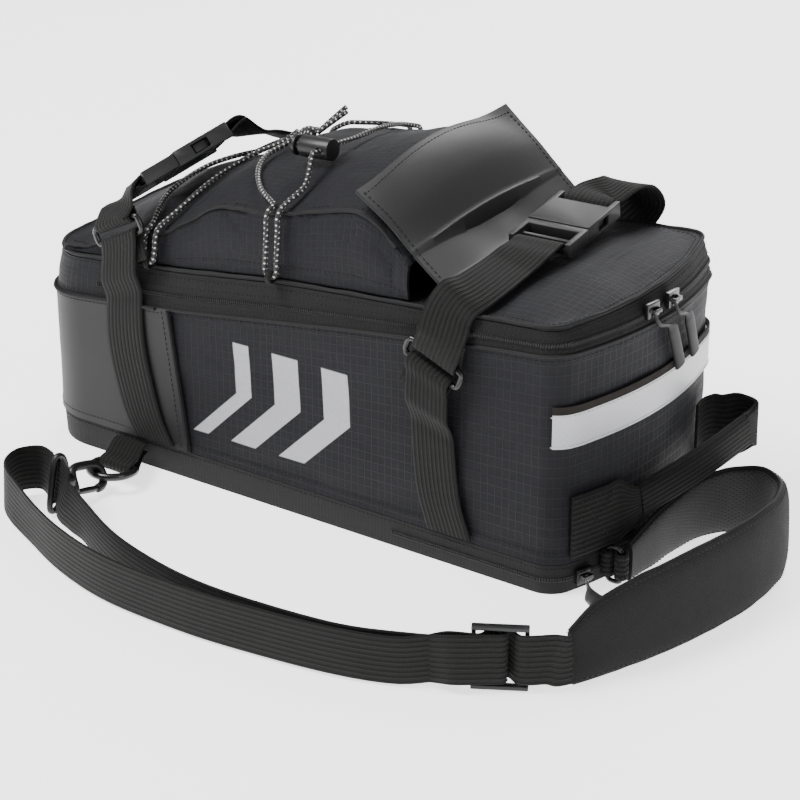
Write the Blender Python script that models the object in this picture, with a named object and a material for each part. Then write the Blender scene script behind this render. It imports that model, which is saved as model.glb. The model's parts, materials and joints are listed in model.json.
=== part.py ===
"""Bicycle rack bag with a top pocket, two cinch straps, a bungee and a shoulder strap.

Metres, +Z up. X runs along the bag with the reflective band at +X, and the near side is at -Y.
The origin is the middle of the underside of the bag's body.
"""

import math

import bmesh
import bpy
from mathutils import Matrix, Vector

for old in list(bpy.data.objects):
    bpy.data.objects.remove(old, do_unlink=True)

# Body
HALF_LENGTH = 0.190
HALF_WIDTH = 0.083
FRONT_RADIUS = 0.035
REAR_RADIUS = 0.012
REAR_BULGE = 0.015
FRONT_BULGE = 0.003
CLOTH = 0.002
GAP = 0.0003
SEAT = 0.0006
BASE_HEIGHT = 0.018
BASE_WALL = 0.003
ZIP_FRONT = 0.098
ZIP_REAR = 0.1445
TAPE_FRONT = 0.0245
TAPE_REAR = 0.0135
TAPE_INSET = 0.004
TAPE_WALL = 0.0015
TAPE_START = -0.139
FAR_LIFT = 0.009
LID_CROWN = 0.008
CAP_WALL = 0.001
CAP_SEAM_TOP = -0.081
CAP_SEAM_FOOT = -0.068
BAND_LOW = 0.089
BAND_HEIGHT = 0.020
BAND_WALL = 0.0008

# Top pocket and its flap
POCKET_FRONT = -0.166
POCKET_MOUTH = 0.088
POCKET_HEIGHT = 0.047
POCKET_CROWN = 0.018
POCKET_SIDE = 0.006
GUSSET_BULGE = 0.003
FLAP_WALL = 0.0018
FLAP_HALF_SPAN = 0.0745
FLAP_FREE = 0.050
FLAP_HINGE = 0.108
FLAP_FREE_NEAR = 0.205
FLAP_FREE_FAR = 0.2175
FLAP_HINGE_NEAR = 0.1620
FLAP_HINGE_FAR = 0.1690
FLAP_ROOT = 0.116
FLAP_DENT = 0.005
FLAP_SEAT = 0.0011

# Webbing and its hardware
WEB = 0.030
WEB_WALL = 0.0016
BAR_RADIUS = 0.0018
LOOP_ROOM = 0.0005
RING_HEIGHT = 0.011
RING_MARGIN = 0.0042
BUCKLE_LENGTH = 0.062
BUCKLE_MARGIN = 0.0045
BUCKLE_THICK = 0.010
SHOULDER_WEB = 0.028
SLIDER_LENGTH = 0.030
TAB_WEB = 0.025
RING_INNER = 0.0125
RING_WIRE = 0.0022
HOOK_WIRE = 0.0026
HOOK_WIDTH = 0.015

# Bungee and cord lock
CORD = 0.003
LOCK_LENGTH = 0.024
LOCK_RADIUS = 0.0065
LOCK_BORE = 0.0042
PLUNGER_DEPTH = 0.0105
PLUNGER_STEM = 0.0036
PLUNGER_TRAVEL = 0.003

# Shoulder pad and handle
PAD_WIDTH = 0.052
PAD_THICK = 0.010
HANDLE_WEB = 0.038
GRIP_HEIGHT = 0.021
GRIP_THICK = 0.007

MATERIALS = {
    "ripstop": ((0.055, 0.055, 0.066), 0.75, 0.0),
    "coated_cloth": ((0.075, 0.075, 0.082), 0.5, 0.0),
    "webbing": ((0.045, 0.044, 0.042), 0.85, 0.0),
    "zip_tape": ((0.04, 0.04, 0.04), 0.85, 0.0),
    "plastic": ((0.03, 0.03, 0.031), 0.4, 0.0),
    "reflective": ((0.75, 0.75, 0.75), 0.4, 0.1),
    "bungee": ((0.06, 0.06, 0.06), 0.7, 0.0),
    "pull_rubber": ((0.035, 0.035, 0.036), 0.6, 0.0),
    "pull_metal": ((0.55, 0.55, 0.55), 0.35, 1.0),
    "pad_mesh": ((0.025, 0.025, 0.025), 0.9, 0.0),
}


def material(name, slot):
    """A material of the piece's own, in the finish of its slot."""
    color, roughness, metallic = MATERIALS[slot]
    made = bpy.data.materials.new(name)
    made.use_nodes = True
    shader = made.node_tree.nodes["Principled BSDF"]
    shader.inputs["Base Color"].default_value = (*color, 1.0)
    shader.inputs["Roughness"].default_value = roughness
    shader.inputs["Metallic"].default_value = metallic
    return made


def smooth_mesh(mesh, angle=40):
    mesh.shade_smooth()
    mesh.set_sharp_from_angle(angle=math.radians(angle))


def add(name, slot, points, faces, frame=None):
    """One closed solid from points and faces, with its faces turned outwards."""
    mesh = bpy.data.meshes.new(name)
    mesh.from_pydata([tuple(p) for p in points], [], faces)
    work = bmesh.new()
    work.from_mesh(mesh)
    bmesh.ops.recalc_face_normals(work, faces=work.faces)
    work.to_mesh(mesh)
    work.free()
    smooth_mesh(mesh)
    mesh.materials.append(material(name, slot))
    made = bpy.data.objects.new(name, mesh)
    bpy.context.scene.collection.objects.link(made)
    if frame is not None:
        made.matrix_world = frame
    return made


def loft(name, slot, sections, frame=None):
    """A solid through closed sections of equal point counts, capped at both ends."""
    count = len(sections[0])
    points = [p for section in sections for p in section]
    faces = [tuple(range(count))[::-1]]
    for row in range(len(sections) - 1):
        for i in range(count):
            j = (i + 1) % count
            a = row * count
            faces.append((a + i, a + j, a + count + j, a + count + i))
    last = (len(sections) - 1) * count
    faces.append(tuple(range(last, last + count)))
    return add(name, slot, points, faces, frame)


def closed_loft(name, slot, sections, frame=None):
    """A ring-shaped solid through closed sections, the last joined to the first."""
    count = len(sections[0])
    rows = len(sections)
    points = [p for section in sections for p in section]
    faces = []
    for row in range(rows):
        for i in range(count):
            j = (i + 1) % count
            a = row * count
            b = ((row + 1) % rows) * count
            faces.append((a + i, a + j, b + j, b + i))
    return add(name, slot, points, faces, frame)


def table(rows, x):
    """The value at x between the rows (place, value) of a table."""
    if x <= rows[0][0]:
        return rows[0][1]
    for (x0, v0), (x1, v1) in zip(rows, rows[1:]):
        if x <= x1:
            return v0 + (v1 - v0) * (x - x0) / (x1 - x0)
    return rows[-1][1]


def spline(points, step):
    """Points about a step apart on a smooth curve through the given ones."""
    points = [Vector(p) for p in points]
    ends = [2 * points[0] - points[1]] + points + [2 * points[-1] - points[-2]]
    out = []
    for a, b, c, d in zip(ends, ends[1:], ends[2:], ends[3:]):
        parts = max(1, round((c - b).length / step))
        for k in range(parts):
            t = k / parts
            square = (2 * a - 5 * b + 4 * c - d) * t**2
            cube = (3 * b - a - 3 * c + d) * t**3
            out.append(0.5 * (2 * b + (c - a) * t + square + cube))
    return out + [points[-1]]


# Body forms

ZIP_LINE = [(-1, 0.0), (-0.74, 0.10), (-0.39, 0.25), (0.24, 0.63), (0.56, 0.80), (0.8, 0.92), (1, 1.0)]
TAPE_LINE = [(-1, 0.0), (-0.05, 0.12), (0.56, 0.75), (1, 1.0)]
SIDE_PLACES = [-1, -0.9, -0.75, -0.5, -0.25, 0, 0.25, 0.5, 0.75, 1]


def zip_height(x):
    return ZIP_FRONT + (ZIP_REAR - ZIP_FRONT) * table(ZIP_LINE, x / HALF_LENGTH)


def seam_height(x, y):
    """Height of the lid's seam, where the zip tape ends and the lid begins."""
    tape = TAPE_FRONT + (TAPE_REAR - TAPE_FRONT) * table(TAPE_LINE, x / HALF_LENGTH)
    return zip_height(x) + tape + FAR_LIFT * (y + HALF_WIDTH) / (2 * HALF_WIDTH)


def end_run(end, inset):
    """Plan points of the rear (end 1) or front (end -1), from the near side to the far side."""
    radius = REAR_RADIUS if end > 0 else FRONT_RADIUS
    bulge = REAR_BULGE if end > 0 else FRONT_BULGE
    half = HALF_WIDTH - inset
    corner = max(radius - inset, 0.001)
    straight = half - corner
    ys = [-straight - corner * math.cos(k * math.pi / 10) for k in range(5)]
    ys += [straight * share for share in (-1, -0.8, -0.55, -0.28, 0)]
    ys += [-y for y in reversed(ys[:-1])]
    run = []
    for y in ys:
        past = max(0.0, (abs(y) - straight) / corner)
        x = HALF_LENGTH - inset + bulge * (1 - (y / half) ** 2)
        x -= corner * (1 - math.sqrt(max(0.0, 1 - past**2)))
        run.append((end * x, y))
    return run


def side_xs(low, high, breaks=()):
    """Places along a straight side between two ends, with a point at each break."""
    xs = {round(low, 6), round(high, 6)}
    xs |= {round(low + (high - low) * (s + 1) / 2, 6) for s in SIDE_PLACES}
    xs |= {round(b, 6) for b in breaks if low < b < high}
    return sorted(xs)


def sides(inset):
    """Ends of the straight sides."""
    return -HALF_LENGTH + max(FRONT_RADIUS, inset + 0.001), HALF_LENGTH - max(REAR_RADIUS, inset + 0.001)


def plan(inset):
    """The closed outline seen from above, in the same order and count for any inset."""
    low, high = sides(0)
    xs = side_xs(low, high)[1:-1]
    near = [(x, -HALF_WIDTH + inset) for x in xs]
    far = [(x, HALF_WIDTH - inset) for x in reversed(xs)]
    return near + end_run(1, inset) + far + list(reversed(end_run(-1, inset)))


def rear_strip(start_near, start_far, inset):
    """An open outline from a place on the near side round the rear to the far side."""
    high = sides(0)[1]
    near = [(x, -HALF_WIDTH + inset) for x in side_xs(start_near, high)[:-1]]
    far = [(x, HALF_WIDTH - inset) for x in reversed(side_xs(start_far, high)[:-1])]
    return near + end_run(1, inset) + far


def front_strip(start_near, start_far, inset):
    """An open outline from a place on the far side round the front to the near side."""
    low = sides(0)[0]
    far = [(x, HALF_WIDTH - inset) for x in reversed(side_xs(low, start_far)[1:])]
    near = [(x, -HALF_WIDTH + inset) for x in side_xs(low, start_near)[1:]]
    return far + list(reversed(end_run(-1, inset))) + near


def wall(name, slot, low_out, up_out, low_in, up_in, bottom, top):
    """A strip of wall between two open outlines, with heights given as functions of the plan."""
    sections = []
    for a, b, c, d in zip(low_out, up_out, up_in, low_in):
        sections.append([(*a, bottom(*a)), (*b, top(*b)), (*c, top(*b)), (*d, bottom(*a))])
    return loft(name, slot, sections)


def body_pieces():
    floor = BASE_HEIGHT + GAP
    rim = [(p[0], p[1], zip_height(p[0]) - GAP) for p in plan(0)]
    tub = [
        [(*p, floor) for p in plan(0)],
        rim,
        [(*p, r[2]) for p, r in zip(plan(CLOTH), rim)],
        [(*p, floor + CLOTH) for p in plan(CLOTH)],
    ]
    loft("tub_shell", "ripstop", tub)
    pan = [
        [(*p, 0.0) for p in plan(0.001)],
        [(*p, BASE_HEIGHT) for p in plan(0)],
        [(*p, BASE_HEIGHT) for p in plan(BASE_WALL)],
        [(*p, BASE_WALL) for p in plan(BASE_WALL + 0.001)],
    ]
    loft("base_pan", "zip_tape", pan)

    def strip_insets(strip, near, far):
        insets = (0, TAPE_INSET, TAPE_WALL, TAPE_INSET + TAPE_WALL)
        return [strip(near, far, inset) for inset in insets]

    wall(
        "top_zip_tape",
        "zip_tape",
        *strip_insets(rear_strip, TAPE_START, TAPE_START),
        lambda x, y: zip_height(x),
        lambda x, y: seam_height(x, y) - CLOTH - SEAT,
    )
    edge = TAPE_START - GAP
    wall(
        "hinge_panel",
        "ripstop",
        *strip_insets(front_strip, edge, edge),
        lambda x, y: zip_height(x),
        lambda x, y: seam_height(x, y) - CLOTH - SEAT,
    )

    def cap_run(place, inset):
        return front_strip(place, place, inset)

    out = -GAP - CAP_WALL
    wall(
        "front_cap",
        "coated_cloth",
        cap_run(CAP_SEAM_FOOT, out),
        cap_run(CAP_SEAM_TOP, out),
        cap_run(CAP_SEAM_FOOT, -GAP),
        cap_run(CAP_SEAM_TOP, -GAP),
        lambda x, y: floor,
        lambda x, y: zip_height(x) - 2 * GAP,
    )
    band = end_run(1, -GAP - BAND_WALL)[2:-2]
    band_in = end_run(1, -GAP)[2:-2]
    wall(
        "reflective_band",
        "reflective",
        band,
        band,
        band_in,
        band_in,
        lambda x, y: BAND_LOW,
        lambda x, y: BAND_LOW + BAND_HEIGHT,
    )


# Lid, pocket and flap

LID_SPINE = 0.045
LID_RINGS = (1.0, 0.90, 0.62, 0.12)


def lid_edge_x(end, y):
    """How far the lid reaches at an end, for a place across it."""
    half = HALF_WIDTH - TAPE_INSET
    bulge = REAR_BULGE if end > 0 else FRONT_BULGE
    return HALF_LENGTH - TAPE_INSET + bulge * max(0.0, 1 - (y / half) ** 2)


def lid_height(x, y):
    """Height of the lid's outer face."""
    end = 1 if x > 0 else -1
    start = HALF_LENGTH - LID_SPINE
    across = min(1.0, abs(y) / (HALF_WIDTH - TAPE_INSET))
    along = min(1.0, max(0.0, (abs(x) - start) / (lid_edge_x(end, y) - start)))
    share = min(1.0, (across**3 + along**3) ** (1 / 3))
    crown = LID_CROWN * table([(0.35, 0.0), (0.6, 1.0)], x / HALF_LENGTH)
    return seam_height(x, y) + crown * (1 - share**2.2)


def lid_panel():
    edge = plan(TAPE_INSET)
    sections = []
    for share in LID_RINGS:
        ring = []
        for x, y in edge:
            spine = max(-HALF_LENGTH + LID_SPINE, min(HALF_LENGTH - LID_SPINE, x))
            px, py = spine + (x - spine) * share, y * share
            ring.append((px, py, lid_height(px, py)))
        sections.append(ring)
    under = [[(x, y, z - CLOTH) for x, y, z in ring] for ring in sections]
    loft("lid_panel", "ripstop", list(reversed(sections)) + under)


# Rows of place along the pocket, height of its crest and height of its crown.
POCKET_ROWS = [
    (0.00, 0.09, 0.30),
    (0.14, 0.25, 0.90),
    (0.21, 0.39, 0.90),
    (0.30, 0.47, 1.00),
    (0.36, 0.62, 1.00),
    (0.46, 0.85, 0.85),
    (0.61, 0.84, 0.95),
    (0.70, 0.90, 1.00),
    (0.78, 0.98, 1.00),
    (0.87, 1.00, 0.95),
    (0.94, 0.80, 0.70),
    (1.00, 0.47, 0.45),
]
CREST_LINE = [(row[0], row[1]) for row in POCKET_ROWS]
CROWN_LINE = [(row[0], row[2]) for row in POCKET_ROWS]
GUSSET_STEPS = 3
TOP_STEPS = 10


def pocket_share(x):
    return (x - POCKET_FRONT) / (POCKET_MOUTH - POCKET_FRONT)


def pocket_side():
    return HALF_WIDTH - POCKET_SIDE


def crest_height(x, y):
    return seam_height(x, y) + POCKET_HEIGHT * table(CREST_LINE, pocket_share(x))


def pocket_top(x, y):
    """Height of the pocket's top panel."""
    across = min(1.0, abs(y) / pocket_side())
    crown = POCKET_CROWN * table(CROWN_LINE, pocket_share(x))
    return crest_height(x, y) + crown * (1 - across**2)


def pocket_section(x, wall_in=0.0):
    """The pocket's outline across the bag at x, up the near gusset, over the top and down the far one."""
    side = pocket_side() - wall_in
    section = []
    for k in range(GUSSET_STEPS):
        u = k / GUSSET_STEPS
        y = -side - GUSSET_BULGE * math.sin(math.pi * u) * table(CREST_LINE, pocket_share(x))
        foot = lid_height(x, -pocket_side()) + SEAT
        crest = crest_height(x, -pocket_side()) - wall_in
        section.append((x, y, foot + (crest - foot) * u))
    for k in range(TOP_STEPS + 1):
        y = side * (2 * k / TOP_STEPS - 1)
        section.append((x, y, pocket_top(x, y * pocket_side() / side) - wall_in))
    for k in range(GUSSET_STEPS - 1, -1, -1):
        u = k / GUSSET_STEPS
        y = side + GUSSET_BULGE * math.sin(math.pi * u) * table(CREST_LINE, pocket_share(x))
        foot = lid_height(x, pocket_side()) + SEAT
        crest = crest_height(x, pocket_side()) - wall_in
        section.append((x, y, foot + (crest - foot) * u))
    return section


def pocket_shell():
    span = POCKET_MOUTH - POCKET_FRONT
    outer = [pocket_section(POCKET_FRONT)]
    places = [POCKET_FRONT + CLOTH] + [POCKET_FRONT + span * row[0] for row in POCKET_ROWS[1:]]
    outer += [pocket_section(x) for x in places]
    inner = [pocket_section(x, CLOTH) for x in places]
    count = len(outer[0])
    points = [p for section in outer + inner for p in section]
    rows = len(outer)

    def o(row, i):
        return row * count + i

    def n(row, i):
        return (rows + row - 1) * count + i

    last = count - 1
    faces = [tuple(o(0, i) for i in range(count))]
    faces.append((o(0, 0), o(0, last), o(1, last), n(1, last), n(1, 0), o(1, 0)))
    faces.append(tuple(n(1, i) for i in reversed(range(count))))
    for row in range(rows - 1):
        for i in range(last):
            faces.append((o(row, i), o(row, i + 1), o(row + 1, i + 1), o(row + 1, i)))
    for row in range(1, rows - 1):
        for i in range(last):
            faces.append((n(row, i), n(row + 1, i), n(row + 1, i + 1), n(row, i + 1)))
        for i in (0, last):
            faces.append((o(row, i), o(row + 1, i), n(row + 1, i), n(row, i)))
    end = rows - 1
    for i in range(last):
        faces.append((o(end, i), o(end, i + 1), n(end, i + 1), n(end, i)))
    add("pocket_shell", "ripstop", points, faces)


# Rows of place across the flap, place along it, half sizes and depth of the soft dents.
FLAP_DENTS = [(0.42, 0.55, 0.14, 0.50, 0.8), (0.62, 0.45, 0.12, 0.45, 1.0)]
FLAP_STEP = 0.008
FLAP_STEPS_Y = 12


def flap_height(x, y):
    """Height of the flap's underside, which rests on the pocket."""
    across = (y + FLAP_HALF_SPAN) / (2 * FLAP_HALF_SPAN)
    along = (x - FLAP_FREE) / (FLAP_HINGE - FLAP_FREE)
    free = FLAP_FREE_NEAR + (FLAP_FREE_FAR - FLAP_FREE_NEAR) * across
    hinge = FLAP_HINGE_NEAR + (FLAP_HINGE_FAR - FLAP_HINGE_NEAR) * across
    z = free + (hinge - free) * along
    for row in FLAP_DENTS:
        reach = ((across - row[0]) / row[2]) ** 2 + ((along - row[1]) / row[3]) ** 2
        z -= FLAP_DENT * row[4] * math.exp(-reach)
    rest = pocket_top(min(x, POCKET_MOUTH), y) if x <= POCKET_MOUTH + CLOTH else lid_height(x, y)
    return max(z, rest + FLAP_SEAT)


def flap():
    top, under = [], []
    span = POCKET_MOUTH - POCKET_FRONT
    breaks = [FLAP_FREE, POCKET_MOUTH + CLOTH / 2, FLAP_HINGE]
    rows = [POCKET_FRONT + span * row[0] for row in POCKET_ROWS]
    breaks += [x for x in rows if FLAP_FREE < x < POCKET_MOUTH]
    breaks.sort()
    places = breaks[:1]
    for low, high in zip(breaks, breaks[1:]):
        parts = max(1, round((high - low) / FLAP_STEP))
        places += [low + (high - low) * (k + 1) / parts for k in range(parts)]
    for x in places:
        ys = [FLAP_HALF_SPAN * (2 * j / FLAP_STEPS_Y - 1) for j in range(FLAP_STEPS_Y + 1)]
        under.append([(x, y, flap_height(x, y)) for y in ys])
    root = [(FLAP_ROOT, p[1], lid_height(FLAP_ROOT, p[1]) + 2 * GAP) for p in under[-1]]
    under.append(root)
    top = [[(x, y, z + FLAP_WALL) for x, y, z in row] for row in under]
    sections = [u + list(reversed(t)) for u, t in zip(under, top)]
    loft("pocket_flap", "coated_cloth", sections)


# Webbing

def frame_at(origin, along, across):
    """A matrix whose Y runs along, whose X runs across, at the origin."""
    y = Vector(along).normalized()
    x = Vector(across)
    x = (x - y * x.dot(y)).normalized()
    z = x.cross(y)
    return Matrix.Translation(Vector(origin)) @ Matrix((x, y, z)).transposed().to_4x4()


# Sections over which a sewn strap turns square to its path.
SEAM_TURN = 4


def webbing(name, slot, path, across, width, thickness=WEB_WALL, seam=None, sheared=False):
    """A flat strap swept along a path. across is its width direction, or a list with one for each point.

    seam is the index of an end that is sewn in a seam, whose edge keeps its width direction, while
    the next few sections turn square to the path little by little. A sheared strap keeps the given
    width directions all along, as where it bends within its own plane.
    """
    path = [Vector(p) for p in path]
    ways = across if isinstance(across, list) else [across] * len(path)
    sections = []
    for i, p in enumerate(path):
        ahead = path[min(i + 1, len(path) - 1)] - path[max(i - 1, 0)]
        ahead.normalize()
        w = Vector(ways[i])
        square = 1.0 if seam is None else min(1.0, abs(i - seam) / SEAM_TURN)
        if not sheared:
            w = w - ahead * w.dot(ahead) * square
        w = w.normalized() * width / 2
        n = w.cross(ahead).normalized() * thickness / 2
        sections.append([p - w - n, p + w - n, p + w + n, p - w + n])
    return loft(name, slot, sections)


def bar_loop(center, axis, back, up, tail, turns=6):
    """Path of a strap's end that goes over a bar and doubles back under itself.

    axis runs along the bar, back from the bar along the strap, and up to the side on which the
    strap arrives.
    """
    center, axis, back, up = Vector(center), Vector(axis).normalized(), Vector(back), Vector(up)
    back = (back - axis * back.dot(axis)).normalized()
    up = (up - axis * up.dot(axis) - back * up.dot(back)).normalized()
    radius = BAR_RADIUS + LOOP_ROOM + WEB_WALL / 2
    points = []
    for k in range(turns + 1):
        a = math.pi * k / turns
        points.append(center + up * radius * math.cos(a) - back * radius * math.sin(a))
    close = radius * 2 - WEB_WALL - 2 * GAP
    clear = max(tail * 0.3, BAR_RADIUS + 0.0027)
    points.append(center - up * radius + back * clear + up * close * 0.4)
    points.append(center - up * radius + back * max(tail * 0.7, clear + 0.0013) + up * close * 0.9)
    points.append(center - up * radius + back * tail + up * close)
    return points


SKIN = GAP + CAP_WALL + GAP + WEB_WALL / 2
BARE_SKIN = 3 * GAP + WEB_WALL / 2


def wire(name, slot, path, radius, normal=None, closed=False, count=8, frame=None):
    """A round bar along a path. normal is a direction kept square to it, and radius may be a list."""
    path = [Vector(p) for p in path]
    rows = len(path)
    radii = radius if isinstance(radius, list) else [radius] * rows
    side = Vector(normal) if normal else None
    sections = []
    for i, p in enumerate(path):
        ahead = path[(i + 1) % rows if closed else min(i + 1, rows - 1)]
        behind = path[i - 1 if closed or i else 0]
        way = (ahead - behind).normalized()
        if side is None:
            side = way.orthogonal()
        side = (side - way * side.dot(way)).normalized()
        other = way.cross(side)
        ring = []
        for k in range(count):
            a = 2 * math.pi * (k + 0.5) / count
            ring.append(p + (side * math.cos(a) + other * math.sin(a)) * radii[i])
        sections.append(ring)
    maker = closed_loft if closed else loft
    return maker(name, slot, sections, frame)


def blocks(name, slot, xs, ys, zs, filled, frame, bevel=0.0005, merge=False):
    """A solid of the filled cells between three lists of breaks.

    merge joins its flat faces, and bevel eases its edges.
    """
    index = {}
    points, faces = [], []

    def corner(i, j, k):
        if (i, j, k) not in index:
            index[(i, j, k)] = len(points)
            points.append((xs[i], ys[j], zs[k]))
        return index[(i, j, k)]

    def solid(i, j, k):
        if not (0 <= i < len(xs) - 1 and 0 <= j < len(ys) - 1 and 0 <= k < len(zs) - 1):
            return False
        middle = ((xs[i] + xs[i + 1]) / 2, (ys[j] + ys[j + 1]) / 2, (zs[k] + zs[k + 1]) / 2)
        return filled(*middle)

    for i in range(len(xs) - 1):
        for j in range(len(ys) - 1):
            for k in range(len(zs) - 1):
                if not solid(i, j, k):
                    continue
                for axis in range(3):
                    for end in (0, 1):
                        near = [i, j, k]
                        near[axis] += 1 if end else -1
                        if solid(*near):
                            continue
                        u, v = (axis + 1) % 3, (axis + 2) % 3
                        ring = []
                        for du, dv in ((0, 0), (1, 0), (1, 1), (0, 1)):
                            at = [i, j, k]
                            at[axis] += end
                            at[u] += du
                            at[v] += dv
                            ring.append(corner(*at))
                        faces.append(ring)
    made = add(name, slot, points, faces, frame)
    if merge:
        work = bmesh.new()
        work.from_mesh(made.data)
        bmesh.ops.dissolve_limit(work, angle_limit=0.02, verts=work.verts, edges=work.edges)
        work.to_mesh(made.data)
        work.free()
    if bevel:
        ease = made.modifiers.new("eased edges", "BEVEL")
        ease.width = bevel
        ease.segments = 1
        ease.limit_method = "ANGLE"
    return made


# Cinch straps

def roof(x, y):
    """Height of the highest face of the lid, pocket and flap at a place."""
    z = lid_height(x, y)
    if POCKET_FRONT <= x <= POCKET_MOUTH and abs(y) <= pocket_side():
        z = pocket_top(x, y)
    if FLAP_FREE <= x <= FLAP_ROOT and abs(y) <= FLAP_HALF_SPAN:
        z = max(z, flap_face(x, y))
    return z


def flap_face(x, y):
    """Height of the flap's outer face."""
    if x <= FLAP_HINGE:
        return flap_height(x, y) + FLAP_WALL
    share = (x - FLAP_HINGE) / (FLAP_ROOT - FLAP_HINGE)
    root = lid_height(FLAP_ROOT, y) + 2 * GAP
    return flap_height(FLAP_HINGE, y) * (1 - share) + root * share + FLAP_WALL


# Rows of share of the way up to the ring and share of the half length, for the near lower lengths.
FRONT_LOWER = [(0, -0.50), (0.17, -0.547), (0.5, -0.590), (0.74, -0.605), (1, -0.602)]
REAR_LOWER = [(0, 0.642), (0.4, 0.60), (1, 0.58)]
# Rows of place along the half length and across the half width, and height over the lid's edge.
REAR_UPPER = [
    (0.628, -1.0, 0.000),
    (0.650, -0.955, 0.008),
    (0.667, -0.85, 0.010),
    (0.676, -0.70, 0.0125),
    (0.680, -0.45, 0.016),
]
FRONT_FAR = [
    (-0.50, 0.12, 0.054),
    (-0.515, 0.48, 0.044),
    (-0.547, 0.78, 0.031),
    (-0.58, 0.99, 0.022),
    (-0.59, 1.05, 0.010),
]
REAR_FAR = [(0.684, 0.75, 0.023), (0.70, 0.87, 0.0245), (0.716, 0.99, 0.020), (0.724, 1.05, 0.008)]
STRAP_FOOT = BASE_HEIGHT + 0.002
RING_OUT = 0.0045
RING_OVER_SEAM = {"front": 0.0225, "rear": -0.0285}
RING_X = {"front": -0.115, "rear": 0.1125}
RING_TILT = {"front": 26.0, "rear": -22.0}
# Each buckle's middle, the place along the bag of what carries it, and its height over that.
BUCKLE_PLACE = {"front": (-0.1065, -0.0410), "rear": (0.1275, 0.0200)}
BUCKLE_SUPPORT = {"front": -0.1065, "rear": FLAP_HINGE}
BUCKLE_OVER = {"front": 0.01981, "rear": 0.008538}
BUCKLE_ALONG = {"front": (0.31, 0.90, 0.32), "rear": (-0.083, 0.99, 0.107)}
BUCKLE_ACROSS = {"front": (0.76, -0.33, 0.56), "rear": (0.99, 0.08, 0.0)}
BAR = 0.0024
SLOT = 0.0071
BAR_PLACE = BUCKLE_LENGTH / 2 - BAR / 2
TAIL = 0.016
SHORT_TAIL = 0.007


def ring_center(side):
    x = RING_X[side]
    return Vector((x, -HALF_WIDTH - RING_OUT, seam_height(x, -HALF_WIDTH) + RING_OVER_SEAM[side]))


def ring_ways(side):
    """The slide ring's directions along its bars and up across them."""
    tilt = math.radians(RING_TILT[side])
    return Vector((math.cos(tilt), 0, math.sin(tilt))), Vector((-math.sin(tilt), 0, math.cos(tilt)))


def ring_bar(side, end):
    return ring_center(side) + ring_ways(side)[1] * end * RING_HEIGHT / 2


def rectangle(half_x, half_y, corner):
    """A rounded rectangle's points in a plane."""
    points = []
    for cx, cy, start in ((1, 1, 0), (-1, 1, 90), (-1, -1, 180), (1, -1, 270)):
        for k in range(3):
            a = math.radians(start + 45 * k)
            u = cx * (half_x - corner) + corner * math.cos(a)
            v = cy * (half_y - corner) + corner * math.sin(a)
            points.append((u, v))
    return points


def slide_ring(side):
    along, up = ring_ways(side)
    out = along.cross(up)
    outline = rectangle(WEB / 2 + RING_MARGIN, RING_HEIGHT / 2, 0.003)
    path = [ring_center(side) + along * a + up * b for a, b in outline]
    wire(side + "_slide_ring", "plastic", path, BAR_RADIUS, normal=out, closed=True, count=6)


def buckle_frame(side):
    x, y = BUCKLE_PLACE[side]
    center = Vector((x, y, roof(BUCKLE_SUPPORT[side], y) + BUCKLE_OVER[side]))
    return frame_at(center, BUCKLE_ALONG[side], BUCKLE_ACROSS[side])


def buckle(side):
    """A side release buckle: the plug with its arms and tongue at one end, the socket at the other."""
    half = WEB / 2 + BUCKLE_MARGIN
    slot = WEB / 2 + 0.001
    end = BUCKLE_LENGTH / 2
    thick = BUCKLE_THICK / 2
    cavity = thick - 0.002
    arm = cavity - GAP
    wall_x = half - 0.0023
    rail = thick - 0.0008
    mate = -0.008
    bar2 = end - BAR - SLOT
    base = bar2 - BAR - SLOT + 0.0015
    head = (0.006, 0.0145)
    xs = [-half, -wall_x + GAP, -slot, -0.0112, -0.0045, 0.0045, 0.0112, slot, wall_x - GAP, half]
    ys = [-end, -end + BAR, -bar2, -bar2 + BAR, -base, mate, head[0], head[1], 0.017]
    zs = [-rail, -arm, -BAR / 2, BAR / 2, arm, rail]

    def plug(x, y, z):
        x, z = abs(x), abs(z)
        if y < mate:
            if x > slot or y > -base:
                return True
            return z < BAR / 2 and (y < -end + BAR or -bar2 < y < -bar2 + BAR)
        if z > arm:
            return False
        if x < 0.0045 or 0.0112 < x < slot:
            return True
        return slot < x < wall_x - GAP and head[0] < y < head[1]

    frame = buckle_frame(side)
    blocks(side + "_buckle_plug", "plastic", xs, ys, zs, plug, frame, bevel=0, merge=True)
    window = (head[0] - 0.0015, head[1] + 0.0015)
    floor = 0.0190
    block = end - BAR - SLOT
    xs = [-half, -wall_x, -slot, slot, wall_x, half]
    ys = [mate + GAP, window[0], window[1], floor, block, end - BAR, end]
    zs = [-thick, -cavity, -BAR / 2, BAR / 2, cavity, thick]

    def socket(x, y, z):
        x, z = abs(x), abs(z)
        if y > block:
            return x > slot or (y > end - BAR and z < BAR / 2)
        if y > floor or z > cavity:
            return True
        return x > wall_x and not window[0] < y < window[1]

    blocks(side + "_buckle_socket", "plastic", xs, ys, zs, socket, frame, bevel=0, merge=True)


def steady(path, start, end):
    """Width directions that turn evenly from start to end along a path."""
    start, end = Vector(start), Vector(end)
    last = len(path) - 1
    return [start + (end - start) * (i / last) for i in range(len(path))]


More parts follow.
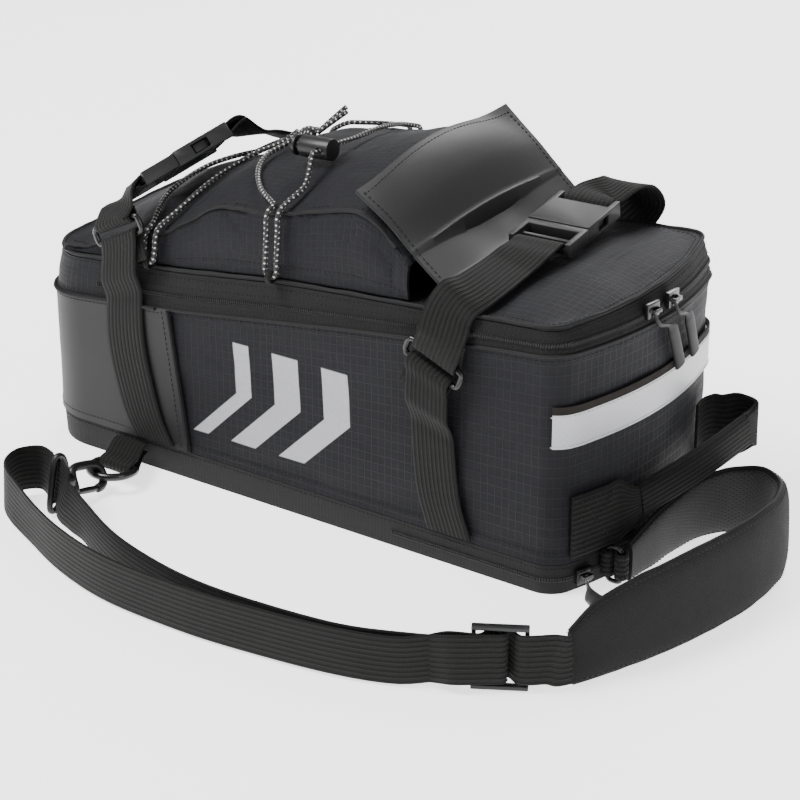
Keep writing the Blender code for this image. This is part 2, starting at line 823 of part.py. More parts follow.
def near_lower(side, rows):
    """The strap's length on the near side, from its foot in the base seam to the ring's lower bar."""
    along, up = ring_ways(side)
    bar = ring_bar(side, -1)
    loop = bar_loop(bar, along, -up, (0, -1, 0), TAIL)
    top = bar.z - TAIL - 0.020
    skin = SKIN if side == "front" else BARE_SKIN
    path = []
    for share, place in rows:
        z = STRAP_FOOT + (top - STRAP_FOOT) * share
        path.append((place * HALF_LENGTH, -HALF_WIDTH - skin, z))
    # The strap is clear of its own tail before it reaches it.
    path.append(Vector(((path[-1][0] + loop[0].x) / 2, loop[0].y, loop[0].z - TAIL * 1.5)))
    path.append(loop[0] + Vector((0, 0, -TAIL * 0.5)))
    rise = spline(path, 0.008)
    for p in rise:
        p.y = min(p.y, -HALF_WIDTH - skin)
    route = rise + loop
    ways = steady([0] * (len(route) - len(loop)), (1, 0, 0), along) + [along] * len(loop)
    webbing(side + "_strap_near_lower", "webbing", route, ways, WEB, sheared=True)


def lid_edge(rows):
    points = []
    for x, y, up in rows:
        place = x * HALF_LENGTH
        points.append((place, y * HALF_WIDTH, seam_height(place, -HALF_WIDTH) + up))
    return points


def near_upper(side, rows):
    """The strap's length from the ring's upper bar to the buckle's plug."""
    along, up = ring_ways(side)
    frame = buckle_frame(side)
    buckle_bar = frame @ Vector((0, -BAR_PLACE, 0))
    way = (buckle_bar - ring_bar(side, 1)).normalized()
    back = up if rows else way
    across, ahead, over = (frame.to_3x3() @ Vector(way) for way in ((1, 0, 0), (0, 1, 0), (0, 0, 1)))
    arrive = -ahead
    tail = TAIL if rows else SHORT_TAIL
    first = bar_loop(ring_bar(side, 1), along, back, (0, -1, 0), tail)
    last = bar_loop(buckle_bar, across, arrive if rows else -way, over, tail)
    path = [first[0]]
    if rows:
        path += [first[0] + up * TAIL * 0.8] + lid_edge(rows) + [last[0] + arrive * TAIL]
    path.append(last[0])
    middle = spline(path, 0.008)[1:-1]
    route = list(reversed(first)) + middle + last
    turn = steady(middle, along, across) if len(middle) > 1 else [along + across] * len(middle)
    ways = [along] * len(first) + turn + [across] * len(last)
    webbing(side + "_strap_near_upper", "webbing", route, ways, WEB)


def far_length(side, rows):
    """The strap's length from the buckle's socket over the far edge and down to its foot."""
    frame = buckle_frame(side)
    bar = frame @ Vector((0, BAR_PLACE, 0))
    arrive = frame.to_3x3() @ Vector((0, 1, 0))
    across = frame.to_3x3() @ Vector((1, 0, 0))
    loop = bar_loop(bar, across, arrive, frame.to_3x3() @ Vector((0, 0, 1)), TAIL)
    skin = SKIN if side == "front" else BARE_SKIN
    low = FRONT_LOWER if side == "front" else REAR_LOWER
    far = [(x, y, z + FAR_LIFT * (y / HALF_WIDTH + 1) / 2) for x, y, z in lid_edge(rows)]
    path = [loop[0], loop[0] + arrive * 0.012] + far
    top = zip_height(far[-1][0]) - 0.004
    for share in (1.0, 0.55, 0.17, 0.0):
        z = STRAP_FOOT + (top - STRAP_FOOT) * share
        path.append((table(low, share) * HALF_LENGTH, HALF_WIDTH + skin, z))
    middle = spline(path, 0.009)[1:]
    route = list(reversed(loop)) + middle
    half = len(middle) // 3
    ways = [across] * len(loop) + steady(middle[:half], across, (1, 0, 0))
    ways += [(1, 0, 0)] * (len(middle) - half)
    webbing(side + "_strap_far", "webbing", route, ways, WEB, seam=len(route) - 1)


def cinch_straps():
    tables = (("front", FRONT_LOWER, [], FRONT_FAR), ("rear", REAR_LOWER, REAR_UPPER, REAR_FAR))
    for side, lower, upper, far in tables:
        slide_ring(side)
        buckle(side)
        near_lower(side, lower)
        near_upper(side, upper)
        far_length(side, far)


# Bungee with its cord lock

ANCHOR_WEB = 0.004
ANCHOR_WALL = 0.001
ANCHOR_OUT = 0.0048
ANCHOR_UP = 0.0035
TURN_RADIUS = 0.004
# Places along the bag, and the side of it, of the bungee's anchors.
ANCHORS = {
    "near_front": (-0.0955, -1),
    "near_middle": (-0.0035, -1),
    "far_middle": (-0.0205, 1),
    "far_front": (-0.078, 1),
}
KNOT = (-0.040, 0.0)
KNOT_RADIUS = 0.0052
LOCK_PLACE = (-0.010, -0.034)
LOCK_HOLE = 0.008
LIFT = CORD / 2 + GAP
REST = 0.0004


def anchor_center(name):
    x, side = ANCHORS[name]
    y = side * (HALF_WIDTH - TAPE_INSET + ANCHOR_OUT)
    return Vector((x, y, seam_height(x, side * HALF_WIDTH) + ANCHOR_UP))


def anchor(name):
    """A short loop of tape in the lid's seam, round the bottom of the bungee's turn."""
    c = anchor_center(name)
    side = ANCHORS[name][1]
    radius = 0.0034
    root = (ANCHOR_OUT - 0.0005) * side
    path = [c + Vector((0, -root, 0.0012 - ANCHOR_UP))]
    for k in range(9):
        a = math.radians(-115 + 230 * k / 8)
        path.append(c + Vector((0, side * radius * math.cos(a), radius * math.sin(a))))
    path.append(c + Vector((0, -root, 0.0030 - ANCHOR_UP)))
    webbing("bungee_anchor_" + name, "webbing", path, (1, 0, 0), ANCHOR_WEB, ANCHOR_WALL)


def turn_points(name, first):
    """The bungee's turn through an anchor. first is the side, -1 or 1 along X, on which it comes down."""
    c = anchor_center(name)
    points = []
    for k in range(7):
        a = math.pi * k / 6
        across, down = first * math.cos(a) * TURN_RADIUS, TURN_RADIUS * (1 - math.sin(a))
        points.append(c + Vector((across, 0, down)))
    return points


def on_roof(rows):
    return [Vector((x, y, roof(x, y) + LIFT + up)) for x, y, up in rows]


def over_crest(name, offset, down):
    """Points where the bungee goes over the pocket's edge, towards the anchor if down is true."""
    x = ANCHORS[name][0] + offset
    side = ANCHORS[name][1]
    edge = side * (pocket_side() + GUSSET_BULGE)
    top = crest_height(x, side * pocket_side())
    points = [
        Vector((x, edge - side * 0.0055, top + 0.0030)),
        Vector((x, edge - side * 0.0005, top + 0.0012)),
        Vector((x, edge + side * 0.0012, top - 0.0030)),
    ]
    return points if down else points[::-1]


def knot_center():
    return Vector((*KNOT, roof(*KNOT) + KNOT_RADIUS))


def knot_end(across, ahead, up=0.0):
    return knot_center() + Vector((across, ahead, up))


def lock_center():
    x, y = LOCK_PLACE
    high = max(roof(x + dx, y + dy) for dx in (-0.012, 0, 0.012) for dy in (-0.005, 0, 0.005))
    return Vector((x, y, high + LOCK_RADIUS + GAP))


def lock_frame():
    return frame_at(lock_center(), (1, 0, 0.06), (0, -1, 0))


def clear_of_pocket(p):
    """A point of the bungee's route, moved out to lie on the pocket where it would sink in."""
    side = pocket_side() + GUSSET_BULGE
    if abs(p.y) > side + LIFT or not POCKET_FRONT < p.x < POCKET_MOUTH:
        return p
    step = 0.001
    inner = min(abs(p.y), pocket_side() - step)
    y = math.copysign(inner, p.y)
    across = abs(roof(p.x, y + step) - roof(p.x, y - step))
    ahead = abs(roof(p.x + step, y) - roof(p.x - step, y))
    slope = max(across, ahead) / (2 * step)
    rest = roof(p.x, y) + LIFT * math.sqrt(1 + slope**2) + REST
    if abs(p.y) <= pocket_side():
        return Vector((p.x, p.y, max(p.z, rest)))
    top = crest_height(p.x, math.copysign(pocket_side(), p.y))
    if p.z < top:
        return Vector((p.x, math.copysign(side + LIFT, p.y), p.z))
    return p


def cord(name, path):
    route = [clear_of_pocket(p) for p in spline(path, CORD * 2.1)]
    wire(name, "bungee", route, CORD / 2, count=6)


def bungee():
    front = [knot_end(-0.0062, 0.0042)]
    front += on_roof([(-0.052, 0.0075, 0.002), (-0.066, 0.0115, 0), (-0.085, 0.013, 0)])
    front += on_roof([(-0.101, 0.010, 0)])
    front += on_roof([(-0.112, -0.002, 0), (-0.1155, -0.022, 0), (-0.113, -0.045, 0)])
    front += on_roof([(-0.1055, -0.062, 0)])
    front += over_crest("near_front", -TURN_RADIUS, True) + turn_points("near_front", -1)
    front += over_crest("near_front", TURN_RADIUS, False)
    front += on_roof([(-0.0865, -0.062, 0), (-0.0835, -0.046, 0), (-0.080, -0.028, 0)])
    front += on_roof([(-0.070, -0.011, 0)])
    front += on_roof([(-0.057, -0.003, 0.001)]) + [knot_end(-0.0075, -0.0010)]
    cord("bungee_front", front)

    hole = lock_frame() @ Vector((0, LOCK_HOLE, 0))
    rear = [knot_end(-0.0030, -0.0068)]
    rear += on_roof([(-0.047, -0.014, 0.001), (-0.050, -0.026, 0), (-0.043, -0.044, 0)])
    rear += on_roof([(-0.027, -0.062, 0)])
    rear += over_crest("near_middle", -TURN_RADIUS, True) + turn_points("near_middle", -1)
    rear += over_crest("near_middle", TURN_RADIUS, False)
    rear += on_roof([(0.0035, -0.060, 0.001)])
    rear += [hole + Vector((0, d, 0)) for d in (-0.0115, -0.006, 0, 0.006, 0.0115)]
    rear += on_roof([(-0.003, -0.004, 0.0015), (-0.006, 0.022, 0), (-0.011, 0.046, 0)])
    rear += on_roof([(-0.016, 0.062, 0)])
    rear += over_crest("far_middle", TURN_RADIUS, True) + turn_points("far_middle", 1)
    rear += over_crest("far_middle", -TURN_RADIUS, False)
    rear += on_roof([(-0.034, 0.060, 0), (-0.048, 0.052, 0), (-0.062, 0.054, 0), (-0.071, 0.063, 0)])
    rear += over_crest("far_front", TURN_RADIUS, True) + turn_points("far_front", 1)
    rear += over_crest("far_front", -TURN_RADIUS, False)
    rear += on_roof([(-0.081, 0.060, 0), (-0.072, 0.040, 0), (-0.058, 0.024, 0), (-0.046, 0.018, 0)])
    rear += [knot_end(-0.0010, 0.0075)]
    cord("bungee_rear", rear)
    for name in ANCHORS:
        anchor(name)

    sections = []
    for k in range(9):
        along = math.pi * (k + 0.5) / 9
        ring = []
        for j in range(12):
            a = 2 * math.pi * j / 12
            size = KNOT_RADIUS * math.sin(along) * (1 + 0.10 * math.cos(3 * a + along * 2))
            around = Vector((size * math.cos(a), -KNOT_RADIUS * math.cos(along), size * math.sin(a) * 0.85))
            ring.append(knot_center() + around)
        sections.append(ring)
    loft("bungee_knot", "bungee", sections)
    ends = ((0.0047, 0.0043), (0.0064, 0.0004))
    for number, (across, ahead) in enumerate(ends, 1):
        start = knot_end(across, ahead, 0.001)
        way = Vector((across, ahead + 0.004, 0.002)).normalized()
        rise = Vector((0, 0, 0.004))
        path = [start, start + way * 0.008 + rise, start + way * 0.018 + rise * 2.2]
        cord("bungee_end_%d" % number, path)


def circle_at(place, radius, count=16):
    """A circle's points about the Y axis at a place along it."""
    angles = [2 * math.pi * (k + 0.5) / count for k in range(count)]
    return [(radius * math.cos(a), place, radius * math.sin(a)) for a in angles]


def cylinder(name, radius, low, high, count, along_x=False):
    """A cylinder along Y, or along X, between two places."""
    sections = []
    for place in (low, high):
        ring = []
        for k in range(count):
            a = 2 * math.pi * (k + 0.5) / count
            u, v = radius * math.cos(a), radius * math.sin(a)
            ring.append((place, u, v) if along_x else (u, place, v))
        sections.append(ring)
    return loft(name, "plastic", sections)


def combine(target, other, operation):
    """Apply a piece to another as a hidden cutter or joined form."""
    other.hide_render = True
    other.display_type = "WIRE"
    change = target.modifiers.new(other.name, "BOOLEAN")
    change.operation = operation
    change.object = other
    change.solver = "EXACT"


def cord_lock():
    mouth = LOCK_HOLE - 0.015
    back = mouth + LOCK_LENGTH - 0.003
    frame = lock_frame()
    bore = PLUNGER_STEM + GAP
    profile = [(mouth + PLUNGER_DEPTH, bore), (mouth, bore), (mouth, LOCK_RADIUS), (back, LOCK_RADIUS)]
    sections = [circle_at(place, radius) for place, radius in profile]
    barrel = loft("cord_lock_barrel", "plastic", sections, frame)
    hole = cylinder("cord_hole", LOCK_BORE / 2, -0.01, 0.01, 12, along_x=True)
    for point in hole.data.vertices:
        point.co.y += LOCK_HOLE
    hole.matrix_world = frame
    combine(barrel, hole, "DIFFERENCE")
    face = mouth - PLUNGER_TRAVEL - 0.0003
    rows = [(face - 0.0025, 0.8), (face - 0.0020, 1.0), (face, 1.0)]
    sections = []
    for place, size in rows:
        sections.append(circle_at(place, LOCK_RADIUS * 0.95 * size))
    sections.append(circle_at(face, PLUNGER_STEM))
    sections.append(circle_at(mouth + PLUNGER_DEPTH - PLUNGER_TRAVEL - 0.0015, PLUNGER_STEM))
    loft("cord_lock_plunger", "plastic", sections, frame)


# Zip sliders and their pulls

SLIDER_ROWS = [(-0.014, "rear_zip"), (0.006, "lid_zip")]
ZIP_SLIDER = (0.0045, 0.0055, 0.0028)
BAIL_HEIGHT = 0.0020
BAIL_WALL = 0.0012
BAIL_REACH = 0.0036
BAIL_HALF_WIDTH = 0.0012
PULL_CORD = 0.0026
PULL_CORD_WALL = 0.0012
PULL_WIDTH = 0.0085
PULL_WALL = 0.0028
PULL_LENGTH = 0.027
PULL_DROP = 0.016
BASE_SLIDER_Y = -0.063
BASE_PULL_WIDTH = 0.012
BASE_PULL_LENGTH = 0.020


def rear_face(y, inset=0.0):
    half = HALF_WIDTH - inset
    return HALF_LENGTH - inset + REAR_BULGE * (1 - (y / half) ** 2)


def rear_way(y):
    """Directions along the rear face, from the near side to the far side, and out of it."""
    slope = -2 * REAR_BULGE * y / HALF_WIDTH**2
    along = Vector((slope, 1, 0)).normalized()
    return along, Vector((along.y, -along.x, 0))


def zip_slider(name, origin, along, down):
    """A slider's body with an arched bail on it."""
    half_x, half_y, high = ZIP_SLIDER
    top = high + BAIL_HEIGHT
    xs = [-half_x, -BAIL_HALF_WIDTH, BAIL_HALF_WIDTH, half_x]
    ys = [-half_y, -BAIL_REACH, -BAIL_REACH + BAIL_WALL, BAIL_REACH - BAIL_WALL, BAIL_REACH, half_y]
    zs = [0, high, top, top + BAIL_WALL]

    def filled(x, y, z):
        if z < high:
            return True
        if abs(x) > BAIL_HALF_WIDTH or abs(y) > BAIL_REACH:
            return False
        return z > top or abs(y) > BAIL_REACH - BAIL_WALL

    blocks(name, "plastic", xs, ys, zs, filled, frame_at(origin, along, down), bevel=0.0)


def pull(name, slot, path, width_way, tab_from, width):
    """A cord through the bail and a tab on it, as one piece. The tab starts at the share tab_from."""
    sections = []
    route = spline(path, 0.004)
    last = len(route) - 1
    for i, p in enumerate(route):
        ahead = (route[min(i + 1, last)] - route[max(i - 1, 0)]).normalized()
        share = i / last
        grown = min(1.0, max(0.0, (share - tab_from) / 0.08))
        half_w = (PULL_CORD + (width - PULL_CORD) * grown) / 2
        half_t = (PULL_CORD_WALL + (PULL_WALL - PULL_CORD_WALL) * grown) / 2
        w = Vector(width_way)
        w = (w - ahead * w.dot(ahead)).normalized()
        n = w.cross(ahead).normalized()
        w, n = w * half_w, n * half_t
        sections.append([p - w - n, p + w - n, p + w + n, p - w + n])
    loft(name, slot, sections)


def zips():
    for y, name in SLIDER_ROWS:
        half = TAPE_INSET / 2
        along, out = rear_way(y)
        foot = zip_height(HALF_LENGTH)
        z = (foot + seam_height(HALF_LENGTH, y)) / 2
        face = Vector((rear_face(y, half), y, z))
        zip_slider(name + "_slider", face + out * (TAPE_INSET / 2 + GAP), along, (0, 0, -1))
        bail = ZIP_SLIDER[2] + BAIL_HEIGHT / 2
        path = [face + out * (TAPE_INSET / 2 + GAP + bail)]
        path.append(path[0] - Vector((0, 0, 0.003)))
        path.append(path[0] + Vector((0.0012, 0.003, -0.009)))
        for share, side in ((0, 0.018), (0.5, 0.025), (1, 0.031)):
            down = PULL_DROP + PULL_LENGTH * share
            at = y + side
            path.append(Vector((rear_face(at) + BAND_WALL + PULL_WALL / 2 + 0.0012, at, z - down)))
        pull(name + "_pull", "pull_rubber", path, along, 0.42, PULL_WIDTH)
    along, out = rear_way(BASE_SLIDER_Y)
    face = Vector((rear_face(BASE_SLIDER_Y), BASE_SLIDER_Y, BASE_HEIGHT * 0.5))
    zip_slider("base_zip_slider", face + out * GAP, along, (0, 0, -1))
    start = face + out * (GAP + ZIP_SLIDER[2] + BAIL_HEIGHT / 2)
    path = [start, start - Vector((0, 0, 0.0028))]
    way = Vector((0.80, -0.60, 0))
    for reach in (0.009, 0.009 + BASE_PULL_LENGTH / 2, 0.009 + BASE_PULL_LENGTH):
        path.append(Vector((start.x, start.y, PULL_WALL / 2 + 0.0008)) + way * reach)
    pull("base_zip_pull", "pull_metal", path, along, 0.38, BASE_PULL_WIDTH)


# Handle

HANDLE_FOOT = 0.021
HANDLE_START = -0.072
HANDLE_LEAVES = -0.036
GRIP_NEAR = (-0.023, 0.0415)
GRIP_FAR = (0.064, 0.0575)
HANDLE_REACH = 0.036
HANDLE_FAR_RISE = 0.012
# Shares of the grip's half height and half thickness at the corners of its section.
GRIP_SECTION = [(1, 0.45), (0.8, 1), (-0.8, 1), (-1, 0.45), (-1, -0.45), (-0.8, -1), (0.8, -1), (1, -0.45)]


def ribbon(name, slot, path, ways, widths, thicks):
    """A strap whose width and thickness change along its path."""
    path = [Vector(p) for p in path]
    last = len(path) - 1
    sections = []
    for i, p in enumerate(path):
        ahead = (path[min(i + 1, last)] - path[max(i - 1, 0)]).normalized()
        w = Vector(ways[i])
        w = (w - ahead * w.dot(ahead)).normalized()
        n = w.cross(ahead).normalized() * thicks[i] / 2
        w = w * widths[i] / 2
        sections.append([p - w - n, p + w - n, p + w + n, p - w + n])
    loft(name, slot, sections)


def handle():
    """Webbing sewn at the near and far rear corners, folded and sewn into a grip between them."""
    skin = GAP + WEB_WALL / 2
    middle = HANDLE_FOOT + HANDLE_WEB / 2
    near_y, near_z = GRIP_NEAR
    near_grip = Vector((rear_face(near_y) + GRIP_THICK / 2 + SEAT, near_y, near_z))
    far_y, far_z = GRIP_FAR
    far_grip = Vector((HALF_LENGTH + HANDLE_REACH, far_y, far_z))
    run = far_grip - near_grip
    sag = Vector((0.002, 0, 0))
    shares = (0, 0.15, 0.35, 0.5, 0.65, 0.85, 1)
    grip = [near_grip + run * share + sag * math.sin(math.pi * share) for share in shares]
    up = [(0, 0, 1)] * 20
    half_h, half_t = GRIP_HEIGHT / 2, GRIP_THICK / 2
    sections = []
    for i, p in enumerate(grip):
        ahead = (grip[min(i + 1, 6)] - grip[max(i - 1, 0)]).normalized()
        w = (Vector((0, 0, 1)) - ahead * ahead.z).normalized()
        n = w.cross(ahead)
        ring = []
        for cu, cv in GRIP_SECTION:
            ring.append(p + w * half_h * cu + n * half_t * cv)
        sections.append(ring)
    loft("handle_grip", "webbing", sections)
    step = run.normalized()
    path = []
    for k in range(5):
        y = HANDLE_START + (HANDLE_LEAVES - HANDLE_START) * k / 4
        path.append(Vector((rear_face(y) + skin, y, middle)))
    path.append(near_grip - step * 0.004)
    path.append(near_grip - step * SEAT)
    widths = [HANDLE_WEB] * 5 + [GRIP_HEIGHT * 1.1, GRIP_HEIGHT]
    thicks = [WEB_WALL] * 5 + [GRIP_THICK * 0.5, GRIP_THICK * 0.7]
    ribbon("handle_near", "webbing", path, up, widths, thicks)
    corner = rear_face(0.070)
    high = middle + HANDLE_FAR_RISE
    path = [far_grip + step * SEAT, far_grip + step * 0.004, far_grip + Vector((0.0015, 0.0095, 0.001))]
    path += [far_grip + Vector((-0.006, 0.0135, 0)), Vector((corner + 0.014, 0.0765, high))]
    path += [Vector((corner + 0.0055, 0.0725, high))]
    for y, lift in ((0.066, 0.0012), (0.060, 0.0), (0.053, 0.0)):
        path.append(Vector((rear_face(y) + skin + lift, y, high)))
    widths = [GRIP_HEIGHT, GRIP_HEIGHT, GRIP_HEIGHT * 1.3, HANDLE_WEB * 0.85] + [HANDLE_WEB] * 5
    thicks = [GRIP_THICK * 0.7, GRIP_THICK * 0.6, GRIP_THICK * 0.4, WEB_WALL * 1.2] + [WEB_WALL] * 5
    ribbon("handle_far", "webbing", path, up, widths, thicks)


# Front ring, hook and the shoulder strap

TAB_PLACE = -0.603
RING_BAR = Vector((-0.55526 * HALF_LENGTH, -HALF_WIDTH - 0.0265, 0.0110))
RING_DEPTH = 0.0187
HOOK_ROLL = 60.0
EYE_BAR = Vector((-0.54211 * HALF_LENGTH, -HALF_WIDTH - 0.085, 0.0205))
HOOK_BASE = 0.0185
EYE_REACH = 0.0100
EYE_WIRE = 0.0018
EYE_MARGIN = 0.0030
HEAD_RADIUS = 0.0038
POST_RADIUS = 0.0024
COLLAR_LENGTH = 0.006
COLLAR_RADIUS = 0.0048
GATE_WIRE = 0.0020
EAR_TOP = 0.0006
ARM = 0.019


def hook_way():
    """Direction from the eye's bar to the ring's arc."""
    arc = Vector((EYE_BAR.x, RING_BAR.y - RING_DEPTH, RING_BAR.z))
    return (arc - EYE_BAR).normalized()


def hook_frame():
    """Origin at the middle of the hook's base, Y towards its bow, X from the fixed arm to the gate."""
    roll = math.radians(HOOK_ROLL)
    along = hook_way()
    return frame_at(EYE_BAR + along * HOOK_BASE, along, (math.cos(roll), 0, -math.sin(roll)))


def front_ring():
    """A D ring in a doubled tab that is sewn in the base seam."""
    half = RING_INNER + RING_WIRE
    frame = hook_frame()
    arc = frame @ Vector((0, ARM + HOOK_WIDTH / 2 - HOOK_WIRE - RING_WIRE - GAP, 0))
    bar = Vector((arc.x, RING_BAR.y, RING_BAR.z))
    along = (bar - arc).normalized()
    depth = (bar - arc).length
    across = (Vector((1, 0, 0)) - along * along.x).normalized()
    outline = [(-half, 0), (-half * 0.5, 0), (0, 0), (half * 0.5, 0), (half, 0)]
    for k in range(1, 12):
        a = math.pi * k / 12
        outline.append((half * math.cos(a), -(depth - half) - half * math.sin(a)))
    path = [bar + across * u + along * v for u, v in outline]
    wire("front_ring", "plastic", path, RING_WIRE, normal=across.cross(along), closed=True)
    root = Vector((TAB_PLACE * HALF_LENGTH, -HALF_WIDTH - SEAT - WEB_WALL / 2, bar.z))
    radius = RING_WIRE + LOOP_ROOM + WEB_WALL / 2
    leave = Vector((0, -0.004, 0))
    points = [root + Vector((0, 0, radius)), root + leave + Vector((0, 0, radius))]
    points.append((root + bar) / 2 + Vector((0, 0, radius)))
    for k in range(7):
        a = math.pi * k / 6
        points.append(bar + Vector((0, -radius * math.sin(a), radius * math.cos(a))))
    points.append((root + bar) / 2 - Vector((0, 0, radius - 0.0012)))
    points.append(root + leave - Vector((0, 0, radius - WEB_WALL - SEAT)))
    points.append(root - Vector((0, 0, radius - WEB_WALL - SEAT)))
    webbing("front_ring_tab", "webbing", points, (1, 0, 0), TAB_WEB)


def front_hook():
    """A snap hook: body with its swivel post, gate, and an eye whose collar turns on the post."""
    frame = hook_frame()
    half = HOOK_WIDTH / 2
    head = -(HOOK_BASE - 0.0088)
    path = [(0, head - 0.0014, 0), (0, head, 0), (0, head + 0.0001, 0), (0, -0.004, 0)]
    path += [(0, 0, 0), (-half * 0.7, 0.0005, 0)]
    radii = [HEAD_RADIUS, HEAD_RADIUS, POST_RADIUS, POST_RADIUS, HOOK_WIRE, HOOK_WIRE]
    path += [(-half, 0.0035, 0), (-half, ARM * 0.6, 0)]
    for k in range(9):
        a = math.pi - math.pi * k / 8
        path.append((half * math.cos(a), ARM + half * math.sin(a), 0))
    path.append((half, ARM - EAR_TOP, 0))
    radii += [HOOK_WIRE] * (len(path) - len(radii))
    body = wire("front_hook_body", "plastic", path, radii, normal=(0, 0, 1), frame=frame)
    xs = [-0.001, half + HOOK_WIRE]
    ys, zs = [-0.0024, EAR_TOP], [-HOOK_WIRE, HOOK_WIRE]
    ear = blocks("hook_ear", "plastic", xs, ys, zs, lambda *at: True, frame, 0)
    combine(body, ear, "UNION")
    gate_frame = frame @ Matrix.Translation((half, EAR_TOP + GAP, 0))
    top = ARM - EAR_TOP - GAP - (EAR_TOP + GAP)
    gate = [(0, GAP, 0), (0, 0.0015, 0), (0, top / 2, 0), (0, top, 0)]
    gate_radii = [GATE_WIRE / 2, GATE_WIRE, GATE_WIRE, GATE_WIRE]
    wire("front_hook_gate", "plastic", gate, gate_radii, normal=(0, 0, 1), frame=gate_frame)

    along = hook_way()
    up = (Vector((0, 0, 1)) - along * along.z).normalized()
    half_bar = SHOULDER_WEB / 2 + EYE_MARGIN
    half_loop = [(0, half_bar), (0.0035, half_bar + 0.0003), (0.0070, half_bar - 0.0008)]
    half_loop += [(0.0098, half_bar - 0.0052), (EYE_REACH + 0.0015, 0.0070)]
    path = [EYE_BAR] + [EYE_BAR + along * a + up * b for a, b in half_loop]
    path.append(EYE_BAR + along * (EYE_REACH + 0.0028))
    path += [EYE_BAR + along * a - up * b for a, b in reversed(half_loop)]
    eye = wire("front_hook_eye", "plastic", path, EYE_WIRE, normal=along.cross(up), closed=True)
    low, high = EYE_REACH, EYE_REACH + COLLAR_LENGTH
    local = frame_at(EYE_BAR, along, up)
    collar = cylinder("eye_collar", COLLAR_RADIUS, low, high, 14)
    bore = cylinder("eye_bore", POST_RADIUS + 2 * GAP, low - 0.004, high + 0.002, 12)
    for piece in (collar, bore):
        piece.matrix_world = local
    combine(eye, collar, "UNION")
    combine(eye, bore, "DIFFERENCE")


STRAP_REACH = 0.150
# Rows of place along the half length and reach in front of the near side.
OUTER_RUN = [
    (0.94, 0.845),
    (0.75, 0.930),
    (0.44, 0.985),
    (0.22, 1.000),
    (-0.03, 0.985),
    (-0.25, 0.915),
    (-0.437, 0.815),
]
LEFT_LOOP = [(-0.630, 0.700), (-0.703, 0.600), (-0.712, 0.510), (-0.672, 0.455), (-0.615, 0.478)]
INNER_RUN = [
    (-0.48, 0.590),
    (-0.35, 0.665),
    (-0.16, 0.790),
    (0.0, 0.865),
    (0.22, 0.925),
    (0.44, 0.935),
    (0.75, 0.893),
    (0.94, 0.805),
]
SLIDER_PLACE = (1.165, 0.655)
STRAP_Z = SHOULDER_WEB / 2 + 0.0012


def strap_point(along, reach, z=STRAP_Z):
    return Vector((along * HALF_LENGTH, -HALF_WIDTH - STRAP_REACH * reach, z))


def slider_frame():
    """Origin at the middle bar, Y along the strap towards the pad, X up, Z away from the bag."""
    origin = strap_point(*SLIDER_PLACE, SHOULDER_WEB / 2 + 0.0045)
    return frame_at(origin, (0.86, 0.51, 0), (0, 0.10, 1))


def shoulder_slider():
    half = SHOULDER_WEB / 2 + 0.0038
    slot = SHOULDER_WEB / 2 + 0.0012
    end = SLIDER_LENGTH / 2
    rail = 0.0024
    xs = [-half, -slot, slot, half]
    ys = [-end, -end + BAR, -BAR / 2, BAR / 2, end - BAR, end]
    zs = [-rail, -BAR / 2, BAR / 2, rail]

    def filled(x, y, z):
        if abs(x) > slot:
            return True
        return abs(z) < BAR / 2 and (abs(y) > end - BAR or abs(y) < BAR / 2)

    blocks("shoulder_slider", "plastic", xs, ys, zs, filled, slider_frame(), bevel=0)


def shoulder_webbing():
    """The strap from the pad through the slider, round through the hook's eye and back to the slider."""
    frame = slider_frame()
    end = SLIDER_LENGTH / 2 - BAR / 2
    rise = [(end + 0.012, 0.0), (end + 0.004, -0.0020), (end, -0.0027), (end - 0.0026, -0.0026)]
    rise.append((0.0035, 0.0062))
    weave = rise + [(0, 0.0066)] + [(-y, z) for y, z in reversed(rise)]
    through = [frame @ Vector((0, y, z)) for y, z in weave]
    outer = [strap_point(*row) for row in OUTER_RUN]
    loop = [strap_point(*row, STRAP_Z + 0.003) for row in LEFT_LOOP]
    pass_eye = [EYE_BAR + Vector(at) for at in ((-0.0065, 0.0066, 0), (0, 0.0042, 0), (0.0065, 0.0018, 0))]
    inner = [strap_point(*row) for row in INNER_RUN]
    axis, back, below = (frame.to_3x3() @ Vector(way) for way in ((1, 0, 0), (0, -1, -0.17), (0, 0, -1)))
    sewn = bar_loop(frame.translation, axis, back, below, 0.0)[:8]
    under = ((-end - 0.011, -0.0064), (-end, -0.0053), (-0.005, -0.0036))
    arrive = [frame @ Vector((0, y, z)) for y, z in under]
    smooth = spline([through[-1]] + outer + loop + pass_eye + inner + [arrive[0]], 0.014)
    route = through[:-1] + smooth[:-1] + arrive + sewn
    up = frame.to_3x3() @ Vector((1, 0, 0))
    eye_up = frame_at(EYE_BAR, hook_way(), (0, 0, 1)).to_3x3() @ Vector((1, 0, 0))
    near_eye = [max(0.0, 1 - max(0.0, (p - EYE_BAR).length - 0.012) / 0.025) for p in smooth[:-1]]
    turned = [Vector((0, 0, 1)) * (1 - w) + eye_up * w for w in near_eye]
    ways = [up] * (len(through) - 1) + turned + [up] * (len(arrive) + len(sewn))
    start = pad_place(PAD_ROWS[0]) - pad_way(0) * SEAT
    start.z = PAD_WIDTH * PAD_ROWS[0][2] / 2 + PAD_FOOT
    route = [start, start - pad_way(0) * 0.004] + route
    webbing("shoulder_webbing", "webbing", route, [up, up] + ways, SHOULDER_WEB)


